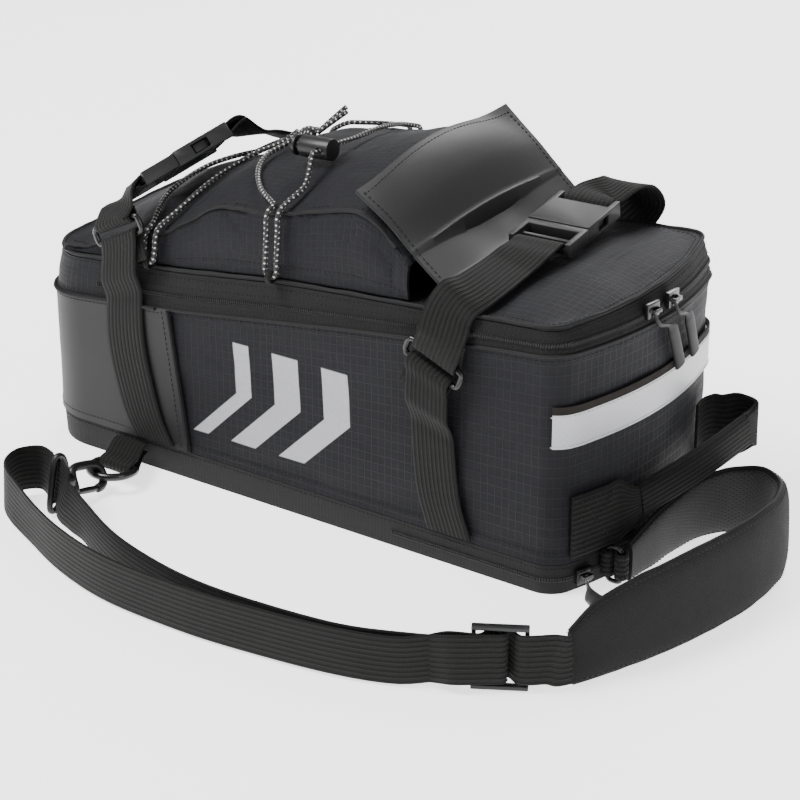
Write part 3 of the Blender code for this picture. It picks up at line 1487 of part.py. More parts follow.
# Rows of place along the half length, place across the half width, height, and thickness as a share.
PAD_ROWS = [
    (1.315, -1.880, 0.56, 0.55),
    (1.350, -1.720, 0.78, 0.90),
    (1.400, -1.420, 0.92, 1.00),
    (1.442, -1.080, 0.98, 1.00),
    (1.478, -0.660, 1.00, 1.00),
    (1.492, -0.240, 1.00, 1.00),
    (1.470, 0.130, 0.98, 1.00),
    (1.400, 0.430, 0.94, 1.00),
    (1.300, 0.570, 0.88, 0.95),
    (1.205, 0.540, 0.80, 0.90),
    (1.146, 0.330, 0.73, 0.85),
    (1.130, 0.060, 0.66, 0.80),
    (1.128, -0.240, 0.58, 0.75),
    (1.118, -0.480, 0.42, 0.60),
]
PAD_LEAN = 0.16
PAD_FOOT = 0.0008
REAR_TAPE = 0.016


def pad_place(row):
    return Vector((row[0] * HALF_LENGTH, row[1] * HALF_WIDTH, 0.0))


def pad_way(i):
    """The pad's direction along its route at a row."""
    last = len(PAD_ROWS) - 1
    return (pad_place(PAD_ROWS[min(i + 1, last)]) - pad_place(PAD_ROWS[max(i - 1, 0)])).normalized()


def shoulder_pad():
    """The padded part, standing on its edge and leaning in towards the bag."""
    route = [pad_place(row) for row in PAD_ROWS]
    last = len(route) - 1
    sections = []
    for i, row in enumerate(PAD_ROWS):
        p = route[i]
        ahead = pad_way(i)
        lean = PAD_LEAN * max(0.0, 1 - i / (last * 0.7))
        side = Vector((-ahead.y, ahead.x, 0))
        up = (Vector((0, 0, 1)) + side * lean).normalized()
        n = up.cross(ahead).normalized()
        half_h, half_t = PAD_WIDTH * row[2] / 2, PAD_THICK * row[3] / 2
        middle = p + up * (half_h + PAD_FOOT)
        ring = []
        for k in range(12):
            a = 2 * math.pi * (k + 0.5) / 12
            u = math.copysign(abs(math.cos(a)) ** 0.5, math.cos(a))
            v = math.copysign(abs(math.sin(a)) ** 0.7, math.sin(a))
            ring.append(middle + up * half_h * u + n * half_t * v)
        sections.append(ring)
    loft("shoulder_pad", "pad_mesh", sections)
    return sections


def strap_ends(sections):
    """The strap's rear fastening: a tape from the pad, a ring, and a tab sewn to the bag."""
    end = sum((Vector(p) for p in sections[-1]), Vector()) / 12
    z = end.z
    ring_y = end.y - 0.0085
    inner_x = rear_face(ring_y) + GAP + 0.0021 + BAR_RADIUS
    height = REAR_TAPE / 2 + 0.0012 + 0.0014
    center = Vector((inner_x + 0.0045, ring_y, max(z, height + 0.0020)))
    outline = rectangle(0.0045, height, 0.0025)
    path = [center + Vector((u, 0, v)) for u, v in outline]
    wire("rear_ring", "plastic", path, 0.0014, normal=(0, 1, 0), closed=True, count=6)
    outer_bar = center + Vector((0.0045, 0, 0))
    loop = bar_loop(outer_bar, (0, 0, 1), (0.1, 1, 0), (1, 0, 0), 0.0045)[:8]
    way = pad_way(len(PAD_ROWS) - 1)
    reach = end - way * -SEAT
    reach.z = center.z
    path = list(reversed(loop)) + [reach + way * 0.002, reach]
    webbing("rear_pad_tape", "webbing", path, (0, 0, 1), REAR_TAPE)
    inner_bar = center - Vector((0.0045, 0, 0))
    loop = bar_loop(inner_bar, (0, 0, 1), (0.15, 1, 0), (-1, 0, 0), 0.005)[:8]
    path = list(reversed(loop))
    for k in range(1, 5):
        y = ring_y + 0.008 * k
        path.append(Vector((rear_face(y) + GAP + WEB_WALL / 2 + 0.0003, y, center.z)))
    webbing("rear_ring_tab", "webbing", path, (0, 0, 1), REAR_TAPE)


body_pieces()
lid_panel()
pocket_shell()
flap()
cinch_straps()
bungee()
cord_lock()
zips()
handle()
front_ring()
front_hook()
shoulder_slider()
shoulder_webbing()
strap_ends(shoulder_pad())
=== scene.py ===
import json
import math

import bmesh
import bpy
import numpy as np
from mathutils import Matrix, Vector, noise

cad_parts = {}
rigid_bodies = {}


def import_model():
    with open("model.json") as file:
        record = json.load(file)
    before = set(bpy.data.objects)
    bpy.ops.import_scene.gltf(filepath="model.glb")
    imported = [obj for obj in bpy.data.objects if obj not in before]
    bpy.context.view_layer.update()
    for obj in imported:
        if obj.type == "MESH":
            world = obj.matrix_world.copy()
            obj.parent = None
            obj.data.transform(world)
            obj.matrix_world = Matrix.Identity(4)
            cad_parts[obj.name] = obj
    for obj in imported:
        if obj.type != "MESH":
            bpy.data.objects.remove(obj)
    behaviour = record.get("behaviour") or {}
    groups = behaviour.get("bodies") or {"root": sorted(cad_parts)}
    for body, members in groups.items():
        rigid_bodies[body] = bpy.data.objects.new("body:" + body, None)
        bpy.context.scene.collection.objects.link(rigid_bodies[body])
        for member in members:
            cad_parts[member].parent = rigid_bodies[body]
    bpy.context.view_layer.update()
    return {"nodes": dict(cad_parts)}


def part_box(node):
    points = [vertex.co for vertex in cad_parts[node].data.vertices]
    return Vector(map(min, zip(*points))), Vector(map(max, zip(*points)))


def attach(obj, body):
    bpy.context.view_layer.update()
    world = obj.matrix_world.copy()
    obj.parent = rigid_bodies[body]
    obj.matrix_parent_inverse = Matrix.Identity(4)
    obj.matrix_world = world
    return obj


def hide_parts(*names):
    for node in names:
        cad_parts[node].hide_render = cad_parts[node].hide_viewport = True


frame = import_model()

# %% [markdown]
# ## Camera and light
# A product photograph of this kind is taken with a long lens, a little above the bag and off its near
# corner, on a white sweep. A Sun lamp would give hard shadows. Three large area lamps and a bright
# world give the soft ones of a light tent, so that dark cloth still shows its folds.
# %% Camera and lamps
CAMERA_PLACE = (0.86605, -1.15844, 0.67755)
CAMERA_TILT = 66.245
CAMERA_TURN = 35.93
LENS = 117.0
# Name, place, size and power of each lamp. All of them point at the middle of the bag.
LAMPS = [("key", (-0.9, -0.9, 1.9), 1.1, 70.0),
         ("side", (1.7, -0.6, 1.0), 1.0, 11.0),
         ("back", (-0.3, 1.6, 1.4), 1.2, 34.0)]
LAMP_AIM = (0.02, 0, 0.08)
WORLD_STRENGTH = 0.42


def add_camera():
    data = bpy.data.cameras.new("camera")
    data.lens = LENS
    data.sensor_width = 36.0
    data.clip_end = 50.0
    camera = bpy.data.objects.new("camera", data)
    camera.location = CAMERA_PLACE
    camera.rotation_euler = (math.radians(CAMERA_TILT), 0, math.radians(CAMERA_TURN))
    bpy.context.scene.collection.objects.link(camera)
    bpy.context.scene.camera = camera


def add_lamp(name, place, size, power):
    data = bpy.data.lights.new(name, "AREA")
    data.shape = "DISK"
    data.size = size
    data.energy = power
    lamp = bpy.data.objects.new(name, data)
    lamp.location = place
    lamp.rotation_mode = "QUATERNION"
    lamp.rotation_quaternion = (Vector(LAMP_AIM) - Vector(place)).to_track_quat("-Z", "Y")
    bpy.context.scene.collection.objects.link(lamp)


add_camera()
for row in LAMPS:
    add_lamp(*row)
world = bpy.data.worlds.new("tent")
world.use_nodes = True
world.node_tree.nodes["Background"].inputs["Color"].default_value = (1, 1, 1, 1)
world.node_tree.nodes["Background"].inputs["Strength"].default_value = WORLD_STRENGTH
bpy.context.scene.world = world
print("camera and", len(bpy.data.lights), "lamps")

# %% [markdown]
# ## Shader maths in plain Python
# Node trees are hard to read as lists of nodes and links. A small class wraps a socket, so that
# `1 - mask * 0.5` adds the Math nodes itself. Colours go through Mix and Vector Math instead, because
# a Math node would turn them grey.
# %% A socket with operators, and a material that adds nodes


class Value:
    """A socket that Python's operators turn into Math nodes."""

    def __init__(self, finish, socket):
        self.finish = finish
        self.socket = socket

    def math(self, operation, *others):
        return self.finish.math(operation, self, *others)

    def __add__(self, other):
        return self.math("ADD", other)

    def __sub__(self, other):
        return self.math("SUBTRACT", other)

    def __mul__(self, other):
        return self.math("MULTIPLY", other)

    def __lt__(self, other):
        return self.math("LESS_THAN", other)

    def __rsub__(self, other):
        return self.finish.math("SUBTRACT", other, self)

    __radd__ = __add__

    def wave(self, period):
        """From 0 to 1 and back once in each period."""
        return (self * (2 * math.pi / period)).math("SINE") * 0.5 + 0.5

    def step(self, low, high):
        """0 below low and 1 above high, with a soft change between."""
        sockets = {"Value": self, "From Min": low, "From Max": high}
        settings = {"interpolation_type": "SMOOTHSTEP"}
        return self.finish.node("ShaderNodeMapRange", settings, sockets)


class Finish:
    """A material whose nodes are added by one method."""

    def __init__(self, name, color, roughness, **constants):
        self.material = bpy.data.materials.new(name)
        self.material.use_nodes = True
        self.tree = self.material.node_tree
        self.shader = self.tree.nodes["Principled BSDF"]
        self.put("Base Color", (*color, 1.0))
        self.put("Roughness", roughness)
        for key, value in constants.items():
            self.put(key.replace("_", " ").title().replace("Ior", "IOR"), value)

    def put(self, name, value):
        """Set or link one of the shader's own sockets."""
        self.connect(self.shader.inputs[name], value)

    def connect(self, socket, value):
        if isinstance(value, Value):
            self.tree.links.new(value.socket, socket)
        else:
            socket.default_value = value

    def node(self, kind, settings=None, sockets=None, output=0):
        made = self.tree.nodes.new(kind)
        for key, value in (settings or {}).items():
            if key == "stops":
                self.set_stops(made.color_ramp, value)
            else:
                setattr(made, key, value)
        for key, value in (sockets or {}).items():
            self.connect(made.inputs[key], value)
        return Value(self, made.outputs[output])

    @staticmethod
    def set_stops(ramp, stops):
        while len(ramp.elements) < len(stops):
            ramp.elements.new(0.5)
        for element, (place, color) in zip(ramp.elements, stops):
            element.position = place
            element.color = color

    def math(self, operation, *values):
        return self.node("ShaderNodeMath", {"operation": operation}, dict(enumerate(values)))

    def place(self):
        """Object coordinates as three values, and as one vector."""
        vector = self.node("ShaderNodeTexCoord", output="Object")
        return self.split(vector), vector

    def flat(self):
        """The piece's own UV map, in metres across and along."""
        vector = self.node("ShaderNodeUVMap", {"uv_map": "flat"})
        return self.split(vector), vector

    def split(self, vector):
        first = self.node("ShaderNodeSeparateXYZ", None, {0: vector})
        node = first.socket.node
        return [Value(self, socket) for socket in node.outputs]

    def noise(self, vector, size, detail=3.0, rough=0.5):
        """Noise from 0 to 1 whose features are about size metres wide."""
        sockets = {"Vector": vector, "Scale": 1 / size, "Detail": detail, "Roughness": rough}
        return self.node("ShaderNodeTexNoise", None, sockets)

    def mix(self, share, first, second):
        """A colour between two others."""
        sockets = {0: share, 6: first, 7: second}
        return self.node("ShaderNodeMix", {"data_type": "RGBA"}, sockets, 2)

    def bump(self, height, distance, strength=1.0):
        sockets = {"Height": height, "Distance": distance, "Strength": strength}
        self.put("Normal", self.node("ShaderNodeBump", None, sockets))


def shade(color, factor):
    """A colour made lighter or darker, as the four numbers of a socket."""
    return (*[min(1.0, c * factor) for c in color], 1.0)


# %% [markdown]
# ## Finishes
# Cloth is told apart by its weave: ripstop has a raised grid of thicker threads each 5 mm, webbing has
# ribs along it with short crossing threads, and the coated front has only a soft grain. Image textures
# would fix the scale to one picture, so each weave is drawn by waves of the piece's own flat
# coordinates in metres. Long, slow noise breaks the evenness of the dye and of the sheen.
# %% Cloth finishes
RIPSTOP_COLOR = (0.0058, 0.0058, 0.0080)
COATED_COLOR = (0.0085, 0.0085, 0.0095)
FLAP_COLOR = (0.0130, 0.0130, 0.0138)
WEBBING_COLOR = (0.0060, 0.0058, 0.0054)
TAPE_COLOR = (0.0062, 0.0062, 0.0062)
GRID = 0.0047
THREAD = 0.0006


def motif(finish):
    """A print of slanting chevrons on the near side, as a mask from 0 to 1."""
    (x, y, z), _ = finish.place()
    height = z - 0.066
    slant = x - height * 0.5
    bend = slant + height.math("ABSOLUTE") * 0.55
    stripes = (bend + 0.004).wave(0.036).step(0.44, 0.50)
    inside = bend.step(-0.0335, -0.0325) * bend.step(0.0565, 0.0555)
    tall = height.math("ABSOLUTE").step(0.0325, 0.0315)
    return stripes * inside * tall * (y < -0.07)


def ripstop_finish(name="ripstop", printed=False):
    finish = Finish(name, RIPSTOP_COLOR, 0.62,
                    specular_ior_level=0.2, sheen_weight=0.02, sheen_roughness=0.4)
    (u, v, _), vector = finish.flat()
    across = u.wave(GRID).step(0.93, 0.99)
    along = v.wave(GRID * 0.85).step(0.93, 0.99)
    grid = across.math("MAXIMUM", along)
    weave = u.wave(THREAD) * v.wave(THREAD)
    slow = finish.noise(vector, 0.05, 4)
    fine = finish.noise(vector, 0.004, 2)
    tone = finish.mix(slow, shade(RIPSTOP_COLOR, 0.86), shade(RIPSTOP_COLOR, 1.18))
    # Painted highlight: the raised grid threads are made lighter, standing for the sheen they catch.
    tone = finish.mix(grid * 0.4, tone, shade(RIPSTOP_COLOR, 1.7))
    rough = 0.60 + fine * 0.12 - grid * 0.1
    if printed:
        mask = motif(finish)
        silver = finish.mix(weave * 0.35 + fine * 0.3, (0.44, 0.44, 0.46, 1), (0.30, 0.30, 0.32, 1))
        tone = finish.mix(mask, tone, silver)
        rough = rough - mask * 0.16
        finish.put("Metallic", mask * 0.3)
    finish.put("Base Color", tone)
    finish.put("Roughness", rough)
    finish.bump(weave * 0.35 + grid * 0.9 + fine * 0.5 + slow * 4.0, 0.00016)
    return finish.material


def coated_finish(name, color, rough):
    finish = Finish(name, color, rough, specular_ior_level=0.30)
    _, vector = finish.place()
    slow = finish.noise(vector, 0.07, 3)
    grain = finish.noise(vector, 0.0011, 4, 0.6)
    finish.put("Base Color", finish.mix(slow, shade(color, 0.9), shade(color, 1.12)))
    finish.put("Roughness", rough - 0.05 + slow * 0.10 + grain * 0.05)
    finish.bump(grain + slow * 3.0, 0.00008)
    return finish.material


def webbing_finish(name="webbing", color=WEBBING_COLOR, rib=0.0029):
    """Ribs along the strap, each of short slanting stitches of yarn."""
    finish = Finish(name, color, 0.72,
                    specular_ior_level=0.2, sheen_weight=0.03, sheen_roughness=0.45)
    (u, v, _), vector = finish.flat()
    ribs = u.wave(rib)
    slant = (v + (u * (math.pi / rib)).math("SINE").math("ABSOLUTE") * 0.0008).wave(0.0013)
    slow = finish.noise(vector, 0.03, 3)
    fuzz = finish.noise(vector, 0.0008, 3)
    tone = finish.mix(slow, shade(color, 0.82), shade(color, 1.25))
    # Painted shade: the grooves between the ribs are darkened.
    tone = finish.mix(ribs.step(0.0, 0.45), shade(color, 0.45), tone)
    # Painted highlight: the slanting yarns on each rib are lightened.
    tone = finish.mix(slant * ribs * 0.5, tone, shade(color, 2.0))
    finish.put("Base Color", tone)
    finish.put("Roughness", 0.64 + fuzz * 0.2)
    finish.bump(ribs.step(0.0, 0.7) + slant * 0.45 + fuzz * 0.25, 0.00032)
    return finish.material


def tape_finish():
    """Woven zip tape: a herringbone of very fine threads."""
    finish = Finish("zip_tape", TAPE_COLOR, 0.7,
                    specular_ior_level=0.2, sheen_weight=0.02, sheen_roughness=0.5)
    (u, v, _), vector = finish.flat()
    bone = (u * (math.pi / 0.0024)).math("SINE").math("ABSOLUTE") * 0.0014
    threads = (v + bone).wave(0.0007)
    slow = finish.noise(vector, 0.04, 3)
    finish.put("Base Color", finish.mix(slow, shade(TAPE_COLOR, 0.8), shade(TAPE_COLOR, 1.6)))
    finish.put("Roughness", 0.62 + slow * 0.15)
    finish.bump(threads + slow * 2.0, 0.00012)
    return finish.material


RIPSTOP = ripstop_finish()
BODY_CLOTH = ripstop_finish("ripstop_printed", True)
COATED = coated_finish("coated_cloth", COATED_COLOR, 0.5)
FLAP_CLOTH = coated_finish("flap_cloth", FLAP_COLOR, 0.46)
WEBBING = webbing_finish()
TAPE = tape_finish()
print("cloth finishes:", len(bpy.data.materials))

# %% [markdown]
# ## Measures and forms of the body
# The padded body is a long box whose ends bulge and whose rim climbs to the rear. Its surfaces could
# be subdivided from the coarse solids, but folds need an even fine grid. So the same few formulas
# that shaped the solids are used again here, with many more points.
# %% Sizes and heights of the body
low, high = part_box("tub_shell")
HALF_WIDTH = (high.y - low.y) / 2
REAR_BULGE, FRONT_BULGE = 0.015, 0.003
HALF_LENGTH = (high.x - low.x - REAR_BULGE - FRONT_BULGE) / 2
FRONT_RADIUS, REAR_RADIUS = 0.035, 0.012
CLOTH = 0.002
BASE_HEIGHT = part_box("base_pan")[1].z
ZIP_FRONT, ZIP_REAR = 0.098, 0.1445
TAPE_FRONT, TAPE_REAR = 0.0245, 0.0135
TAPE_INSET = 0.004
TAPE_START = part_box("top_zip_tape")[0].x
FAR_LIFT = 0.009
LID_CROWN = 0.008
ZIP_LINE = ([-1, -0.74, -0.39, 0.24, 0.56, 0.8, 1], [0.0, 0.10, 0.25, 0.63, 0.80, 0.92, 1.0])
TAPE_LINE = ([-1, -0.05, 0.56, 1], [0.0, 0.12, 0.75, 1.0])
SIDE_STEPS, END_STEPS, CORNER_STEPS = 96, 44, 10


def zip_height(x, y=None):
    """Height of the body's rim and of its zip, which is the same right across the bag."""
    return ZIP_FRONT + (ZIP_REAR - ZIP_FRONT) * np.interp(x / HALF_LENGTH, *ZIP_LINE)


def seam_height(x, y):
    """Height of the lid's seam, where the zip tape ends and the lid begins."""
    tape = TAPE_FRONT + (TAPE_REAR - TAPE_FRONT) * np.interp(x / HALF_LENGTH, *TAPE_LINE)
    return zip_height(x) + tape + FAR_LIFT * (y + HALF_WIDTH) / (2 * HALF_WIDTH)


def end_run(end, inset):
    """Plan points of the rear (end 1) or the front (end -1), from the near side to the far one."""
    radius = REAR_RADIUS if end > 0 else FRONT_RADIUS
    bulge = REAR_BULGE if end > 0 else FRONT_BULGE
    half = HALF_WIDTH - inset
    corner = max(radius - inset, 0.001)
    straight = half - corner
    turn = np.linspace(0, math.pi / 2, CORNER_STEPS + 1)
    arc = -straight - corner * np.cos(turn)
    y = np.concatenate([arc, np.linspace(-straight, straight, END_STEPS + 1)[1:-1], -arc[::-1]])
    past = np.clip((np.abs(y) - straight) / corner, 0, 1)
    x = HALF_LENGTH - inset + bulge * (1 - (y / half) ** 2)
    x -= corner * (1 - np.sqrt(np.maximum(0, 1 - past**2)))
    return np.stack([end * x, y], 1)


def side_run(side, start, stop, inset, steps=SIDE_STEPS):
    """Plan points along a straight side."""
    x = np.linspace(start, stop, steps + 1)
    return np.stack([x, np.full(len(x), side * (HALF_WIDTH - inset))], 1)


def plan(inset):
    """The closed outline seen from above, in the same order and count for any inset."""
    low_x, high_x = -HALF_LENGTH + FRONT_RADIUS, HALF_LENGTH - REAR_RADIUS
    near = side_run(-1, low_x, high_x, inset)[1:-1]
    far = side_run(1, high_x, low_x, inset)[1:-1]
    return np.concatenate([near, end_run(1, inset), far, end_run(-1, inset)[::-1]])


def rear_strip(start, inset):
    """An open outline from a place on the near side round the rear to the far side."""
    high_x = HALF_LENGTH - REAR_RADIUS
    near = side_run(-1, start, high_x, inset)[:-1]
    far = side_run(1, high_x, start, inset)[1:]
    return np.concatenate([near, end_run(1, inset), far])


def front_strip(start, inset, steps=24):
    """An open outline from a place on the far side round the front to the near side."""
    low_x = -HALF_LENGTH + FRONT_RADIUS
    far = side_run(1, start, low_x, inset, steps)[:-1]
    near = side_run(-1, low_x, start, inset, steps)[1:]
    return np.concatenate([far, end_run(-1, inset)[::-1], near])


print("body: %.0f by %.0f mm, rim %.0f to %.0f mm high" % (
    2000 * HALF_LENGTH, 2000 * HALF_WIDTH, 1000 * ZIP_FRONT, 1000 * ZIP_REAR))

# %% [markdown]
# ## From grids of points to cloth
# Cloth has two faces and an edge. A Solidify modifier could add the second face, but a grid knows its
# own neighbours, so the inner face and the rims are written directly, and every loop gets its flat
# coordinates in metres. Folds are moves along the surface's own direction.
# %% Helpers that make a piece


def settle(obj, body, slot, replaced):
    """Fasten a finished piece to its body and let it stand for its solids."""
    if replaced:
        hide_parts(*replaced)
    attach(obj, body)
    return obj


def piece(name, points, faces, finish, uvs=None, slot=None, replaced=(), body="bag", sharp=50):
    """A mesh object from points, faces and one flat coordinate for each corner of a face."""
    mesh = bpy.data.meshes.new(name)
    mesh.from_pydata([tuple(p) for p in points], [], faces)
    if uvs is not None:
        layer = mesh.uv_layers.new(name="flat")
        layer.data.foreach_set("uv", np.asarray(uvs, np.float32).ravel())
    mesh.materials.append(finish)
    mesh.shade_smooth()
    mesh.set_sharp_from_angle(angle=math.radians(sharp))
    obj = bpy.data.objects.new(name, mesh)
    bpy.context.scene.collection.objects.link(obj)
    return settle(obj, body, slot, replaced)


def lengths(points):
    """Distance along a line of points from its first one."""
    steps = np.linalg.norm(np.diff(points, axis=0), axis=1)
    return np.concatenate([[0], np.cumsum(steps)])


def fade(count, reach):
    """1 along a row of places, falling to 0 over the given number of them at each end."""
    at = np.arange(count)
    return np.clip(np.minimum(at, at[::-1]) / reach, 0, 1)


def normals(grid, closed=False):
    """The direction out of a grid of points at each of them."""
    if closed:
        along = np.roll(grid, -1, 1) - np.roll(grid, 1, 1)
    else:
        along = np.gradient(grid, axis=1)
    up = np.gradient(grid, axis=0)
    out = np.cross(along, up)
    return out / np.maximum(np.linalg.norm(out, axis=2, keepdims=True), 1e-12)


def folds(grid, size, seed, stretch=(1, 1, 1), detail=3):
    """Soft noise from 0 to 1 over a grid, larger along the axes that are stretched."""
    scale = np.array(stretch) * size
    flat = grid.reshape(-1, 3) / scale + seed * 7.3
    made = [noise.fractal(Vector(p), 1.0, 2.0, detail) for p in flat]
    return np.clip(np.array(made).reshape(grid.shape[:2]) * 0.5 + 0.5, 0, 1)


GRIDS = {}


def slab(name, outer, inner, finish, us, vs, closed=False, floors=(), **more):
    """A wall between two grids of points (rows, columns), with its rims.

    closed joins the last column to the first. floors lists the rows, 0 or -1, that are filled in.
    """
    GRIDS[name] = (outer, closed)
    rows, columns = outer.shape[:2]
    count = rows * columns
    points = np.concatenate([outer.reshape(-1, 3), inner.reshape(-1, 3)])
    faces, uvs = [], []
    wrap = columns if closed else columns - 1

    def at(i, k, side):
        return side * count + (i % rows) * columns + k % columns

    def quad(corners):
        faces.append([at(*c) for c in corners])
        uvs.extend((us[c[1]], vs[c[0]]) for c in corners)

    for i in range(rows - 1):
        for k in range(wrap):
            quad([(i, k, 0), (i, k + 1, 0), (i + 1, k + 1, 0), (i + 1, k, 0)])
            quad([(i, k, 1), (i + 1, k, 1), (i + 1, k + 1, 1), (i, k + 1, 1)])
    for k in range(wrap):
        if 0 not in floors:
            quad([(0, k, 0), (0, k, 1), (0, k + 1, 1), (0, k + 1, 0)])
        if -1 not in floors:
            quad([(rows - 1, k, 0), (rows - 1, k + 1, 0), (rows - 1, k + 1, 1), (rows - 1, k, 1)])
    for row in floors:
        for side in (0, 1):
            ring = [(row % rows, k, side) for k in range(columns)]
            quad(ring if (row == -1) == (side == 0) else ring[::-1])
    if not closed:
        for i in range(rows - 1):
            quad([(i, 0, 0), (i + 1, 0, 0), (i + 1, 0, 1), (i, 0, 1)])
            k = columns - 1
            quad([(i, k, 0), (i, k, 1), (i + 1, k, 1), (i + 1, k, 0)])
    return piece(name, points, faces, finish, uvs, **more)


def around(points, closed=True):
    """Distances along an outline, with the way back to the start at the end."""
    return lengths(np.concatenate([points, points[:1]])) if closed else lengths(points)


# %% [markdown]
# ## Body, base and coated front
# The body's wall is ripstop over foam, so it keeps its box shape but swells and creases a little.
# The coated front cap is sewn over it, and the base is a shallow pan with its own zip. Each is a
# grid from the same outline; the wall and the cap are moved inwards by noise, so that nothing pokes
# through what lies on it.
# %% Body, base and cap
WALL_ROWS = 30
FOLD_DEPTH = 0.0024
WALL_GAP = 0.0003
# Place of each cinch strap along the bag and its lean, and how deep and how far it presses the wall in.
STRAP_LINES = [(-0.105, -0.020), (0.115, -0.010)]
STRAP_PRESS = 0.0016
STRAP_REACH = 0.013


def wall_grid(outline_low, outline_up, bottom, top, rows=WALL_ROWS):
    """A grid of points between two outlines, with heights given as functions of the plan."""
    share = np.linspace(0, 1, rows)[:, None]
    flat = outline_low[None] + (outline_up - outline_low)[None] * share[..., None]
    z0 = bottom(outline_low[:, 0], outline_low[:, 1])
    z1 = top(outline_up[:, 0], outline_up[:, 1])
    z = z0 + (z1 - z0) * share
    return np.concatenate([flat, z[..., None]], 2)


def level(height):
    return lambda x, y: np.full(np.shape(x), height)


def crease(grid, depth, closed=False, seed=1, size=0.05, hold=3):
    """Move a grid inwards by soft folds that die out towards its first and last rows."""
    wide = folds(grid, size, seed, (1.6, 1.0, 0.8))
    fine = folds(grid, size * 0.32, seed + 3, (1.5, 1.0, 1.0))
    deep = (wide * 0.8 + fine * 0.2) * depth * fade(len(grid), hold)[:, None]
    return grid - normals(grid, closed) * deep[..., None]


def under_zip(drop):
    return lambda x, y: zip_height(x) - drop


def body_wall():
    floor = BASE_HEIGHT + WALL_GAP
    outer = wall_grid(plan(0), plan(0), level(floor), under_zip(WALL_GAP))
    inner = wall_grid(plan(CLOTH), plan(CLOTH), level(floor + CLOTH), under_zip(WALL_GAP))
    outer = crease(outer, FOLD_DEPTH, True, 1, 0.045, 2)
    rise = np.linspace(0, 1, WALL_ROWS)[:, None]
    for x, lean in STRAP_LINES:
        off = outer[..., 0] - x - lean * (rise - 0.5)
        near_strap = np.exp(-((off / STRAP_REACH) ** 2))
        side = np.abs(outer[..., 1]) > HALF_WIDTH - 0.006
        press = STRAP_PRESS * near_strap * side * np.sin(math.pi * rise)
        outer[..., 1] -= np.sign(outer[..., 1]) * press
    us = around(plan(0))
    return slab("body_wall", outer, inner, BODY_CLOTH, us, outer[:, 0, 2], True, (0,),
                slot="ripstop", replaced=("tub_shell",))


def base():
    wall = 0.003
    outer = wall_grid(plan(0.001), plan(0), level(0.0), level(BASE_HEIGHT), 7)
    inner = wall_grid(plan(wall), plan(wall), level(wall), level(BASE_HEIGHT), 7)
    us = around(plan(0))
    return slab("base_wall", outer, inner, TAPE, us, outer[:, 0, 2], True, (0,),
                slot="zip_tape", replaced=("base_pan",))


def cap():
    seam_foot, seam_top = -0.068, -0.081
    out, lie = -0.0013, -0.0003
    floor = BASE_HEIGHT + WALL_GAP

    def grid(inset):
        return wall_grid(front_strip(seam_foot, inset), front_strip(seam_top, inset),
                         level(floor), under_zip(2 * WALL_GAP))

    outer = crease(grid(out), 0.0007, False, 5, 0.06, 3)
    us = lengths(front_strip(seam_foot, 0))
    return slab("cap_cloth", outer, grid(lie), COATED, us, outer[:, 0, 2],
                slot="coated_cloth", replaced=("front_cap",))


made = [body_wall(), base(), cap()]
print("body pieces:", {o.name: len(o.data.polygons) for o in made})

# %% [markdown]
# ## Zip tape, hinge panel and lid
# The long zip runs round the rear from one side to the other. Its tape is cloth folded over foam, so
# it leans in towards the lid. Past its ends the same strip goes on as a ripstop hinge panel. The lid
# is a soft crown, padded and a little puckered along its seam.
# %% Zip tape, hinge panel and lid
TAPE_WALL = 0.0015
SEAT = 0.0006
LID_SPINE = 0.045


def strip_top(x, y):
    return seam_height(x, y) - CLOTH - SEAT


def leaning_strip(name, run, rows, finish, slot, node, seed):
    """A strip of cloth from the rim of the body up to the lid's seam."""
    outer = wall_grid(run(0), run(TAPE_INSET), zip_height, strip_top, rows)
    inner = wall_grid(run(TAPE_WALL), run(TAPE_INSET + TAPE_WALL), zip_height, strip_top, rows)
    swell = np.sin(np.linspace(0, math.pi, rows))[:, None, None] * 0.0009
    outer = outer + normals(outer) * swell
    outer = crease(outer, 0.0009, False, seed, 0.03, 2)
    us = lengths(run(0))
    return slab(name, outer, inner, finish, us, outer[:, 0, 2], slot=slot, replaced=(node,))


def lid_edge_x(end, y):
    half = HALF_WIDTH - TAPE_INSET
    bulge = np.where(end > 0, REAR_BULGE, FRONT_BULGE)
    return HALF_LENGTH - TAPE_INSET + bulge * np.maximum(0, 1 - (y / half) ** 2)


def lid_height(x, y):
    """Height of the lid's outer face."""
    x, y = np.asarray(x, float), np.asarray(y, float)
    start = HALF_LENGTH - LID_SPINE
    across = np.minimum(1, np.abs(y) / (HALF_WIDTH - TAPE_INSET))
    along = np.clip((np.abs(x) - start) / (lid_edge_x(np.sign(x), y) - start), 0, 1)
    share = np.minimum(1, (across**3 + along**3) ** (1 / 3))
    crown = LID_CROWN * np.interp(x / HALF_LENGTH, [0.35, 0.6], [0.0, 1.0])
    return seam_height(x, y) + crown * (1 - share**2.2)


